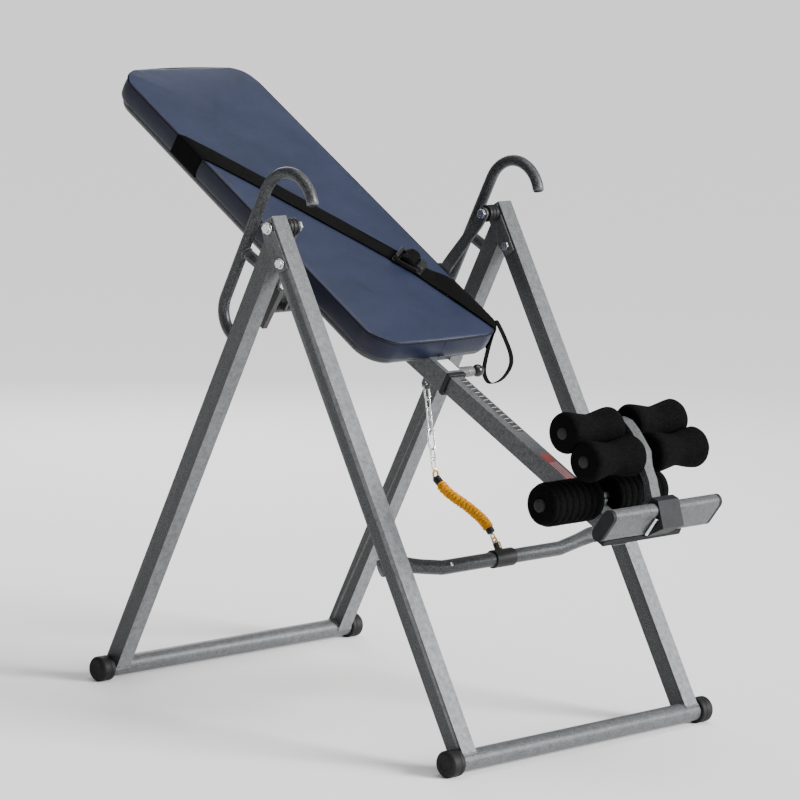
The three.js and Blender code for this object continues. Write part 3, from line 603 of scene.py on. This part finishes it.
def crossbar():
    """A round tube, dipped in the middle, whose ends are pressed flat where they are bolted to the legs."""
    end, knee, dip_end = 0.361, 0.283, 0.180
    knots = [(-end, 0), (-knee, 0), (-dip_end, -CROSSBAR_DIP), (dip_end, -CROSSBAR_DIP), (knee, 0),
             (end, 0)]
    line = bent([(x, 0, z) for x, z in knots], 0.060, 10)
    dense = []
    for a, b in zip(line, line[1:]):
        count = max(1, int((b - a).length / 0.008))
        dense += [a.lerp(b, i / count) for i in range(count)]
    dense.append(line[-1])
    sides = 32
    stand_off = 0.0075
    press_start, press_length = TRACK - 0.110, 0.080
    pressed_share, spread = 7.5 / 15.5, 0.2
    verts = []
    for point, tangent, normal, other in frames_along(dense, Vector((0, 1, 0))):
        u = min(1, max(0, (abs(point.x) - press_start) / press_length))
        flat = u * u * (3 - 2 * u)
        thin = 1 + flat * (pressed_share - 1)
        tall = 1 + flat * spread
        middle = CROSSBAR_Y + stand_off * (1 - flat)
        for j in range(sides):
            angle = 2 * math.pi * j / sides
            off = (normal * CROSSBAR_RADIUS * thin * math.cos(angle)
                   + other * CROSSBAR_RADIUS * tall * math.sin(angle))
            verts.append(Vector((point.x, middle, CROSSBAR_HEIGHT + point.z)) + off)
    faces = ring_faces(len(dense), sides)
    faces.append(tuple(range(sides)))
    faces.append(tuple((len(dense) - 1) * sides + j for j in range(sides)))
    new_piece("crossbar_tube", verts, faces, PAINT, "front_frame", FRONT, stands_for=["crossbar"],
              slot="frame_paint")
    front = CROSSBAR_Y + stand_off - CROSSBAR_RADIUS
    screw = Vector((-0.165, front - 0.0005, CROSSBAR_HEIGHT - CROSSBAR_DIP))
    path = [screw + Vector((0, 0.002 - 0.001 * i, 0)) for i in range(3)]
    rod("crossbar_screw", path, 0.0042, ZINC, "front_frame", FRONT, 20, dome=0.0012)


def bed_loop():
    """The one bent tube round the underside of the bed."""
    start, half, b, corner = 0.0248, 0.178, -0.170, 0.052
    foot, head = PAD_FOOT + 0.021, PAD_HEAD - 0.027
    points = [(start, foot, b), (half, foot, b), (half, head, b), (-half, head, b), (-half, foot, b),
              (-start, foot, b)]
    rod("bed_frame_tube", bent(points, corner, 12), TUBE_RADIUS, PAINT, "table", BED, 28,
        up=Vector((0, 0, 1)), stands_for=["bed_frame"], slot="frame_paint")


def foot_caps():
    """Round end caps with a groove, flat where they stand on the floor."""
    start, end, radius, bore = 0.366, 0.403, 0.028, 0.0217
    profile = [(bore, start + 0.0003), (radius - 0.003, start), (radius, start + 0.003),
               (radius, start + 0.012), (radius - 0.0012, start + 0.0135), (radius, start + 0.015),
               (radius, end - 0.006), (radius - 0.005, end), (0.012, end), (0.010, end - 0.001),
               (0.0, end - 0.001)]
    profile = rounded(profile, 0.0018, 3)
    for end_name, place, body in (("front", FRONT, "front_frame"), ("rear", REAR, "rear_frame")):
        level = Matrix.Translation(place.translation)
        for tag, side in SIDES:
            cap = lathe(f"{end_name}_cap_{tag}", profile, (0, 0), RUBBER, body, level, side, 64,
                        stands_for=[f"{end_name}_foot_cap_{tag}"], slot="rubber")
            for v in cap.data.vertices:
                v.co.z = max(v.co.z, 0.0)


def bushings():
    """Ribbed spacers between the pivot arms and the legs."""
    start, end = 0.2893, 0.3194
    bore, high, low = 0.0064, 0.0189, 0.0168
    ribs = 3
    pitch = (end - start) / ribs
    profile = [(bore, start), (0.0165, start)]
    for i in range(ribs):
        x = start + i * pitch
        profile += [(high, x + pitch * 0.10), (high, x + pitch * 0.58), (low, x + pitch * 0.70),
                    (low, x + pitch * 0.92)]
    profile += [(high, end), (bore, end)]
    for tag, side in SIDES:
        lathe(f"bushing_{tag}", rounded(profile, 0.0008, 2), (0, PIVOT_HEIGHT), PLASTIC, "front_frame",
              FRONT, side, 48, stands_for=[f"pivot_bushing_{tag}"], slot="black_plastic")


# ---- bed ----
def outline(inset=0.0):
    """Points (x, a) round the bed's rounded outline, inset from it; the ends bow out a little."""
    per_corner, per_side, per_end, bow = 26, 60, 24, 0.004
    half, corner = PAD_HALF - inset, max(0.004, PAD_CORNER - inset)
    head, foot = PAD_HEAD - PAD_END_GAP - inset, PAD_FOOT + PAD_END_GAP + inset
    points = []
    centres = [(half - corner, head - corner), (-half + corner, head - corner),
               (-half + corner, foot + corner), (half - corner, foot + corner)]
    for index, (cx, ca) in enumerate(centres):
        for i in range(per_corner + 1):
            angle = math.radians(90 * index + 90 * i / per_corner)
            points.append((cx + corner * math.cos(angle), ca + corner * math.sin(angle)))
        nx, na = centres[(index + 1) % 4]
        end_angle = math.radians(90 * index + 90)
        start_x, start_a = cx + corner * math.cos(end_angle), ca + corner * math.sin(end_angle)
        stop_x, stop_a = nx + corner * math.cos(end_angle), na + corner * math.sin(end_angle)
        is_end = abs(stop_a - start_a) < abs(stop_x - start_x)
        steps = per_end if is_end else per_side
        for i in range(1, steps):
            t = i / steps
            x, a = start_x + (stop_x - start_x) * t, start_a + (stop_a - start_a) * t
            if is_end:
                a += math.copysign(bow * math.sin(math.pi * t), a)
            points.append((x, a))
    return points


def edge_distance(x, a):
    return min(PAD_HALF - abs(x), PAD_HEAD - a, a - PAD_FOOT)


def pad_height(x, a):
    """Height b of the pad's top at (x, a): crowned, and rolled over at the edge."""
    t = min(1.0, max(0.0, edge_distance(x, a) / 0.16))
    roll = min(1.0, max(0.0, edge_distance(x, a) / 0.007))
    return PAD_TOP - PAD_EDGE_DROP * (1 - roll) ** 2 + CROWN * (1 - (1 - t) ** 3)


def wrinkle(x, a):
    """Soft unevenness of upholstery, stronger near the edges."""
    near = math.exp(-max(0.0, edge_distance(x, a)) / 0.03)
    big = noise.noise(Vector((x * 9, a * 7, 3.1)))
    small = noise.noise(Vector((x * 38, a * 26, 0)))
    return 0.0007 * big + 0.0006 * near * small


def pad_top():
    """The cover's top, as rings that close in from the outline to a line along the middle."""
    insets = [0.0, 0.0015, 0.0035, 0.006, 0.010, 0.016, 0.024, 0.034, 0.048, 0.065, 0.085, 0.108, 0.132,
              0.160, 0.18]
    full = 0.186
    ring = [(x, a, min(max(a, PAD_FOOT + PAD_HALF), PAD_HEAD - PAD_HALF)) for x, a in outline()]
    verts = []
    for inset in insets:
        share = inset / full
        for x, a, spine in ring:
            px, pa = x - x * share, a + (spine - a) * share
            verts.append((px, pa, pad_height(px, pa) + wrinkle(px, pa)))
    verts += [(0.0, round(spine, 4), pad_height(0, spine) + wrinkle(0, spine)) for _, _, spine in ring]
    top = new_piece("pad_cover_top", verts, ring_faces(len(insets) + 1, len(ring)), VINYL_TOP, "table", BED,
                    stands_for=["bed_pad"], slot="pad_vinyl")


def pad_side():
    """The cover's side, bulged a little, down past the board and turned in under it, in a darker copy of
    the vinyl as painted shade.
    """
    levels = 12
    start = PAD_TOP - PAD_EDGE_DROP
    verts = []
    for k in range(levels + 1):
        t = k / levels
        b = start + (PAD_SKIRT - start) * t
        bulge = 0.0016 * math.sin(math.pi * t)
        roll = 0.0015 * max(0.0, t - 0.9) / 0.1
        for x, a in outline(-bulge + roll):
            ripple = 0.0007 * noise.noise(Vector((x * 30, a * 22, b * 90)))
            verts.append((x * (1 + ripple), a * (1 + ripple * 0.3), b))
    verts += [(x, a, PAD_BOTTOM) for x, a in outline(0.0020)]
    side = new_piece("pad_cover_side", verts, ring_faces(levels + 2, len(outline())), VINYL_SIDE_PAINTED_SHADE, "table",
                     BED, slot="pad_vinyl")


def pad_trim():
    """Piping round the top edge and the seam in the foot end, both painted dark as the shade in their
    creases.
    """
    upward = Vector((0, 0, 1))
    cord = [Vector((x, a, PAD_TOP - 0.0032)) for x, a in outline(0.0002)]
    rod("pad_piping", cord, 0.0024, PIPING_PAINTED_SHADE, "table", BED, 10, up=upward, closed=True, slot="pad_vinyl")
    seam = [Vector((0.004, PAD_FOOT - 0.0012, b)) for b in (-0.122, -0.134, -0.148, -0.164)]
    rod("pad_end_seam", seam, 0.0013, PIPING_PAINTED_SHADE, "table", BED, 8, slot="pad_vinyl")


# ---- straps ----
def inside(x, a, grow=0.0):
    """Whether (x, a) lies within the pad's outline, grown by grow."""
    half, corner = PAD_HALF + grow, PAD_CORNER + grow
    middle = (PAD_HEAD + PAD_FOOT) / 2
    long = (PAD_HEAD - PAD_FOOT) / 2 + grow
    qx, qa = abs(x) - (half - corner), abs(a - middle) - (long - corner)
    outside = math.hypot(max(qx, 0), max(qa, 0)) + min(max(qx, qa), 0)
    return outside < corner


def strap_thread(base, heading, along, first, arch, across):
    """One lengthwise line of the webbing: over the pad, over its edge, down and in under the cover."""
    steps, stride, tuck, rim_gap, down = 44, 0.0004, 0.0026, 0.0012, 6
    reach = 0.0
    while inside(*(base + heading * reach), 0.0008) and reach < 1.2:
        reach += stride
    edge = base + heading * reach
    line = []
    for i in range(steps + 1):
        t = i / steps
        p = base + heading * (first + (reach - 0.004 - first) * t)
        ripple = 0.0006 * noise.noise(Vector((p.x * 25, p.y * 25, 5)))
        rise = arch * math.sin(math.pi * t) ** 2 * (0.6 + 0.4 * math.sin(across * 60))
        line.append((p.x, p.y, pad_height(p.x, p.y) + STRAP_LIFT + ripple + rise))
    rim = edge + along * rim_gap
    line.append((rim.x, rim.y, PAD_TOP - 0.0015))
    start = PAD_TOP - 0.006
    for i in range(down + 1):
        line.append((rim.x, rim.y, start + (PAD_SKIRT - start) * i / down))
    under = edge - along * tuck
    line.append((under.x, under.y, PAD_SKIRT - 0.0010))
    line.append((under.x, under.y, PAD_SKIRT + 0.0050))
    return line


def strap(name, target, first, flare, arch, stands_for):
    """Webbing from the buckle towards target. flare widens it and arch lifts it off the pad."""
    threads = 12
    start, target = Vector(BUCKLE), Vector(target)
    far = (target - start).length
    along = (target - start).normalized()
    across = Vector((-along.y, along.x))
    lines = []
    for j in range(threads + 1):
        w = (j / threads - 0.5) * STRAP_WIDTH
        heading = (along * far + across * w * (flare - 1)).normalized()
        lines.append(strap_thread(start + across * w, heading, along, first, arch, w))
    verts = [point for row in zip(*lines) for point in row]
    wide = threads + 1
    faces = [(i * wide + j, i * wide + j + 1, (i + 1) * wide + j + 1, (i + 1) * wide + j)
             for i in range(len(lines[0]) - 1) for j in range(threads)]
    piece = new_piece(name, verts, faces, WEBBING, "table", BED, stands_for=[stands_for],
                      slot="strap_webbing")
    thick = piece.modifiers.new("thickness", "SOLIDIFY")
    thick.thickness = 0.0014
    thick.offset = 0
    for k, share in enumerate((-0.43, 0.43)):
        spots = [start + along * (first + 0.004 + 0.0035 * i) + across * STRAP_WIDTH * share
                 for i in range(30)]
        line = [Vector((p.x, p.y, pad_height(p.x, p.y) + 0.0038)) for p in spots
                if inside(p.x, p.y, -0.006)]
        if len(line) > 4:
            rod(f"{name}_stitch_{k}", line, 0.00045, WEBBING, "table", BED, 6, slot="strap_webbing")


def straps():
    strap("strap_long_web", STRAP_LONG_END, 0.030, 1.0, 0.0, "strap_long")
    strap("strap_short_web", STRAP_SHORT_END, 0.026, 1.45, 0.010, "strap_short")


def strap_tail():
    """The strap's free end, in a narrow loop beside the foot corner: points (y, z) at one x."""
    x = 0.198
    route = [(-0.073, 0.835), (-0.063, 0.803), (-0.050, 0.762), (-0.042, 0.722), (-0.052, 0.700),
             (-0.070, 0.696), (-0.098, 0.710), (-0.120, 0.738), (-0.121, 0.764), (-0.104, 0.795),
             (-0.086, 0.820), (-0.074, 0.834)]
    path = smooth_line([(x, y + SHIFT_Y, z) for y, z in route], 8)
    half, thick = 0.006, 0.0009
    verts = []
    for point, tangent, normal, other in frames_along(path):
        for u, v in ((-1, -1), (1, -1), (1, 1), (-1, 1)):
            verts.append(point + normal * half * u + other * thick * v)
    ends = [(0, 1, 2, 3), tuple(4 * len(path) - 4 + k for k in range(4))]
    new_piece("strap_tail_web", verts, ring_faces(len(path), 4) + ends, WEBBING, "table", WORLD,
              smooth=False, stands_for=["strap_tail"], slot="strap_webbing")


def buckle():
    """A flat frame with a tongue and a lip, and the webbing rolled over its middle bar."""
    low = PAD_TOP + 0.0030 + CROWN * 0.9
    turn = math.atan2(STRAP_LONG_END[1] - BUCKLE[1], STRAP_LONG_END[0] - BUCKLE[0])
    place = BED @ Matrix.Translation((*BUCKLE, low)) @ Matrix.Rotation(turn, 4, "Z")

    def add(name, size, centre, bevel, taper=1.0):
        return block(name, size, centre, PLASTIC, "table", place, bevel, 4, taper, slot="black_plastic")

    body = add("buckle_body", (0.072, 0.058, 0.0042), (0, 0, 0.0024), 0.0018)
    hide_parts("strap_buckle")
    add("buckle_tongue", (0.020, 0.052, 0.0150), (-0.026, 0, 0.0080), 0.0030, 0.72)
    add("buckle_lip", (0.009, 0.056, 0.0175), (0.0295, 0, 0.0090), 0.0028, 0.86)
    for side in (-1, 1):
        add(f"buckle_rail_{side + 1}", (0.062, 0.0042, 0.0110), (0, side * 0.0268, 0.0056), 0.0018, 0.8)
    high, deep = 0.0125, 0.0175
    oval = lambda t, angle: high * deep / math.hypot(deep * math.cos(angle), high * math.sin(angle))
    roll = [Vector((0.003, -0.0250 + 0.050 * k / 12, 0.0115)) for k in range(13)]
    rod("buckle_web_roll", roll, oval, WEBBING, "table", place, 32, up=Vector((0, 0, 1)),
        slot="strap_webbing")


# ---- sleeve, pull pin and scale ----
def pull_pin():
    """The pull pin's stepped housing, its stem and its ball knob, on the sleeve's side."""
    face, stem_length = 0.0243, 0.060
    housing = [(0.0067, face), (0.015, face), (0.015, face + 0.006), (0.0118, face + 0.008),
               (0.0118, face + 0.030), (0.0108, face + 0.031), (0.0118, face + 0.032),
               (0.0116, face + 0.049), (0.0100, face + 0.053), (0.0067, face + 0.053)]
    lathe("pin_housing", rounded(housing, 0.001, 3), PULL_PIN, GREY, "table", BOOM, 1, 48,
          stands_for=["pull_pin_housing"], slot="black_plastic")
    stem = [(0.0, 0.0207), (0.005, 0.0207), (0.006, 0.0217), (0.006, face + stem_length),
            (0.0, face + stem_length)]
    lathe("pin_stem", stem, PULL_PIN, ZINC, "pull_pin", BOOM, 1, 32, slot="zinc")
    centre, radius = face + 0.0695, 0.0138
    ball = [(0.0, centre - radius * 0.93)]
    for i in range(4, 37):
        angle = math.pi * i / 36
        ball.append((radius * math.sin(angle), centre - radius * math.cos(angle)))
    lathe("pin_ball", ball, PULL_PIN, GLOSS, "pull_pin", BOOM, 1, 48, stands_for=["pull_pin"],
          slot="black_plastic")


def height_scale():
    """Plain stickers. Those on the boom are less than 0.4 mm proud, so that it still slides."""
    thin = 0.0001
    on_boom, on_top = BOOM_FACE + thin, BOOM_FACE + 2 * thin

    def sticker(name, size, centre, material, body="boom", bevel=thin / 2):
        block(name, size, centre, material, body, BOOM, bevel, 1, smooth=False)

    ticks, first, pitch = 14, -0.350, 0.0140
    sheet = 0.00015
    sticker("scale_strip", (0.0165, 0.196, sheet), (0.0075, -0.441, on_boom), INK)
    for i in range(ticks):
        a = first - i * pitch
        sticker(f"scale_tick_{i}", (0.0150, 0.0009, sheet), (0.0075, a, on_top), LABEL)
        sticker(f"scale_dot_{i}", (0.0040, 0.0012, sheet), (0.0035, a - 0.0055, on_top), GREY)
    sticker("boom_label", (0.026, 0.105, sheet), (0, -0.672, on_boom), WARNING)
    for k in range(4):
        sticker(f"boom_label_rule_{k}", (0.0014, 0.072, sheet), (-0.009 + 0.006 * k, -0.686, on_top), LABEL)
    sticker("sleeve_label", (0.034, 0.040, 0.0004), (0.0045, -0.293, SLEEVE_FACE + 2 * thin), LABEL,
            "table", thin)


# ---- rollers ----
def heel_rollers():
    """Grooved foam rollers on the heel axle, with a cap on each end of the axle."""
    start, end = 0.024, 0.176
    radius, bore, ribs, groove_depth, per_rib = 0.046, 0.0083, 7, 0.0038, 8
    first, last = start + 0.010, end - 0.010
    for tag, side in SIDES:
        profile = [(bore, start), (radius - 0.012, start), (radius - 0.004, start + 0.004)]
        for i in range(ribs * per_rib + 1):
            t = i / (ribs * per_rib)
            x = first + (last - first) * t
            groove = 0.5 + 0.5 * math.cos(2 * math.pi * ribs * t)
            profile.append((radius - groove_depth * groove ** 3, x))
        profile += [(radius - 0.004, end - 0.004), (radius - 0.012, end), (bore, end)]
        lathe(f"heel_foam_{tag}", rounded(profile, 0.003, 2), HEEL, FOAM, f"heel_roller_{tag}", BOOM, side,
              72, 0.0005, stands_for=[f"heel_roller_{tag}"], slot="foam")
        plug(f"heel_plug_{tag}", HEEL, end, side, 0.0135, "boom", 0.0088)


def plug(name, centre, x, side, radius, body, proud=0.0042):
    """A domed cap in the end of a roller's tube."""
    profile = [(0.0, x + proud), (radius * 0.55, x + proud - 0.0002), (radius * 0.9, x + proud - 0.0012),
               (radius, x + proud - 0.003), (radius, x - 0.002)]
    lathe(name, profile, centre, PLUG, body, BOOM, side, 40, slot="slate_plastic")


def pressed(point, own, other):
    """Keeps a point of one roller on its own side of the plane halfway to the other tube."""
    softness = 0.004
    across = Vector((other[0] - own[0], other[1] - own[1]))
    half = across.length / 2 - 0.0003
    across.normalize()
    offset = Vector((point.y - own[0], point.z - own[1]))
    over = offset.dot(across) - half
    if over > -softness:
        kept = -softness * math.exp(-(over + softness) / softness)
        offset += across * (kept - over)
    return Vector((point.x, own[0] + offset.x, own[1] + offset.y))


def ankle_profile(start, end, high, waist, bore):
    """A roller that is high at both ends and narrow at the waist, with rounded end edges."""
    profile = [(bore, start), (high - 0.012, start)]
    count, margin, edge = 44, 0.0006, 0.010
    for i in range(count + 1):
        t = i / count
        x = start + margin + t * (end - start - 2 * margin)
        lobe = waist + (high - waist) * (0.5 + 0.5 * math.cos(2 * math.pi * t)) ** 0.85
        near = min(x - start, end - x)
        round_off = 0.0085 * (1 - math.sqrt(near / edge)) if near < edge else 0.0
        profile.append((lobe - round_off, x))
    return profile + [(high - 0.012, end), (bore, end)]


def ankle_rollers():
    """Four foam rollers on two tubes, pressed flat where the upper and lower ones meet."""
    start, end = 0.023, 0.172
    tube_radius, tube_end = 0.011, 0.1745
    profile = ankle_profile(start, end, 0.0432, 0.0330, 0.0113)
    for level, centre, other in (("upper", UPPER, LOWER), ("lower", LOWER, UPPER)):
        for tag, side in SIDES:
            roller = lathe(f"ankle_foam_{level}_{tag}", profile, centre, FOAM, "ankle_clamp", WORLD, side,
                           80, 0.0006, stands_for=[f"ankle_roller_{level}_{tag}"], slot="foam")
            for v in roller.data.vertices:
                v.co = BOOM @ pressed(v.co, centre, other)
            plug(f"ankle_plug_{level}_{tag}", centre, end, side, 0.0125, "ankle_clamp")
        tube = [(0.0, tube_end), (0.0108, tube_end), (tube_radius, tube_end - 0.0005),
                (tube_radius, -tube_end + 0.0005), (0.0108, -tube_end), (0.0, -tube_end)]
        lathe(f"ankle_rod_{level}", tube, centre, PAINT, "ankle_clamp", BOOM, 1, 40,
              stands_for=[f"ankle_tube_{level}"], slot="black_plastic")


# ---- tether ----
def link(name, centre, axis, flat, length, width, wire, material):
    """One closed oval link whose long way is axis, seen as an oval from flat."""
    axis = axis.normalized()
    across = flat.cross(axis).normalized()
    half = length / 2 - width / 2
    count = 40
    path = []
    for i in range(count):
        angle = 2 * math.pi * i / count
        stretch = half if math.cos(angle) >= 0 else -half
        path.append(centre + axis * (stretch + width / 2 * math.cos(angle))
                    + across * width / 2 * math.sin(angle))
    return rod(name, path, wire, material, None, WORLD, 10, up=flat, closed=True)


def chain(eye, way, side, fore):
    """Small links with two larger ones, each as (share of the way, length, width, wire)."""
    small = (0.026, 0.012, 0.0017)
    spots = [(0.085, 0.034, 0.013, 0.0021), (0.225, *small), (0.335, *small), (0.445, *small),
             (0.620, 0.046, 0.017, 0.0026), (0.800, *small), (0.905, *small)]
    return [link(f"tether_link_{i}", eye + way * t, way, side if i % 2 else fore, length, width, wire, ZINC)
            for i, (t, length, width, wire) in enumerate(spots)]


def folds(t, angle):
    """Radius of the ruched sleeve round the elastic."""
    ruche = abs(math.sin(t * math.pi * 21 + 0.7 * math.sin(angle * 2 + t * 9)))
    crumple = noise.noise(Vector((math.cos(angle) * 2.2, math.sin(angle) * 2.2, t * 46)))
    ends = min(1.0, min(t, 1 - t) / 0.05)
    return (0.0085 + 0.0032 * ruche ** 0.7 + 0.0016 * crumple) * (0.62 + 0.38 * ends)


def wrap(t, angle):
    """Radius of the bound end of the elastic."""
    return 0.0082 + 0.0009 * abs(math.sin(t * math.pi * 7))


def tether():
    """Chain, elastic and hook from the sleeve's eye to the crossbar's clip."""
    eye = BOOM @ Vector((0, *TETHER_EYE))
    clip_radius, clip_drop = 0.0195, 0.008
    hook = FRONT @ Vector((0, 0.0358, CROSSBAR_HEIGHT - CROSSBAR_DIP + clip_radius + clip_drop))
    elastic_top = Vector((0, -0.099 + SHIFT_Y, 0.5095))
    way = elastic_top + Vector((0, 0.005, 0.012)) - eye
    side = Vector((1, 0, 0))
    fore = way.normalized().cross(side)
    parts = chain(eye, way, side, fore)
    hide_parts("tether_chain")
    hook_start = Vector((0, hook.y + 0.016, hook.z + 0.020))
    sag = [(0, y + SHIFT_Y, z) for y, z in ((-0.140, 0.4825), (-0.200, 0.4595), (-0.245, 0.4375))]
    route = smooth_line([elastic_top, *sag, hook_start + Vector((0, 0.003, 0.006))], 60)
    sleeve = rod("tether_sleeve", route[18:-16], folds, YELLOW, None, WORLD, 40)
    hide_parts("tether_elastic")
    parts.append(sleeve)
    for k, piece in enumerate((route[:24], route[-26:])):
        parts.append(rod(f"tether_end_{k}", piece, wrap, PLASTIC, None, WORLD, 28, dome=0.002))
    ring_at = elastic_top + Vector((0, 0.001, 0.006))
    parts.append(link("tether_ring", ring_at, way, fore, 0.020, 0.014, 0.0022, YELLOW))
    drop = hook - hook_start
    parts.append(link("tether_hook_eye", hook_start + drop * 0.25, drop, side, 0.018, 0.010, 0.0018, BRASS))
    snap = link("tether_hook_snap", hook_start + drop * 0.80, drop, side, 0.028, 0.012, 0.0022, BRASS)
    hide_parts("tether_hook")
    parts.append(snap)
    for part in parts:
        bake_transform(part)


# ---- stage ----
def add_light(name, kind, place, energy, **settings):
    data = bpy.data.lights.new(name, kind)
    data.energy = energy
    for key, value in settings.items():
        setattr(data, key, value)
    light = bpy.data.objects.new(name, data)
    bpy.context.scene.collection.objects.link(light)
    light.location = place
    aim = Vector((0, 0, 0.7)) - Vector(place)
    light.rotation_euler = aim.to_track_quat("-Z", "Y").to_euler()


def stage():
    """A plain pale floor, even white surroundings and soft lights."""
    bpy.ops.mesh.primitive_plane_add(size=300, location=(0, 0, 0))
    floor = bpy.context.object
    floor.name = "floor"
    paint = bpy.data.materials.new("floor_paint")
    paint.use_nodes = True
    shader = paint.node_tree.nodes["Principled BSDF"]
    shader.inputs["Base Color"].default_value = (0.92, 0.92, 0.92, 1)
    shader.inputs["Roughness"].default_value = 0.9
    shader.inputs["Specular IOR Level"].default_value = 0.1
    floor.data.materials.append(paint)
    world = bpy.context.scene.world or bpy.data.worlds.new("world")
    bpy.context.scene.world = world
    world.use_nodes = True
    sky = world.node_tree.nodes["Background"]
    sky.inputs["Color"].default_value = (1, 1, 1, 1)
    sky.inputs["Strength"].default_value = 0.33
    add_light("key", "SUN", (2.2, -4.4, 2.7), 8.3, angle=math.radians(28))
    add_light("top", "AREA", (0.4, -0.6, 4.4), 90, size=3.0)
    add_light("rim", "AREA", (2.2, 3.4, 2.2), 60, size=2.0)


handles()
frame_welds()
crossbar()
bed_loop()
foot_caps()
bushings()
pad_top()
pad_side()
pad_trim()
straps()
strap_tail()
buckle()
pull_pin()
height_scale()
heel_rollers()
ankle_rollers()
tether()
stage()
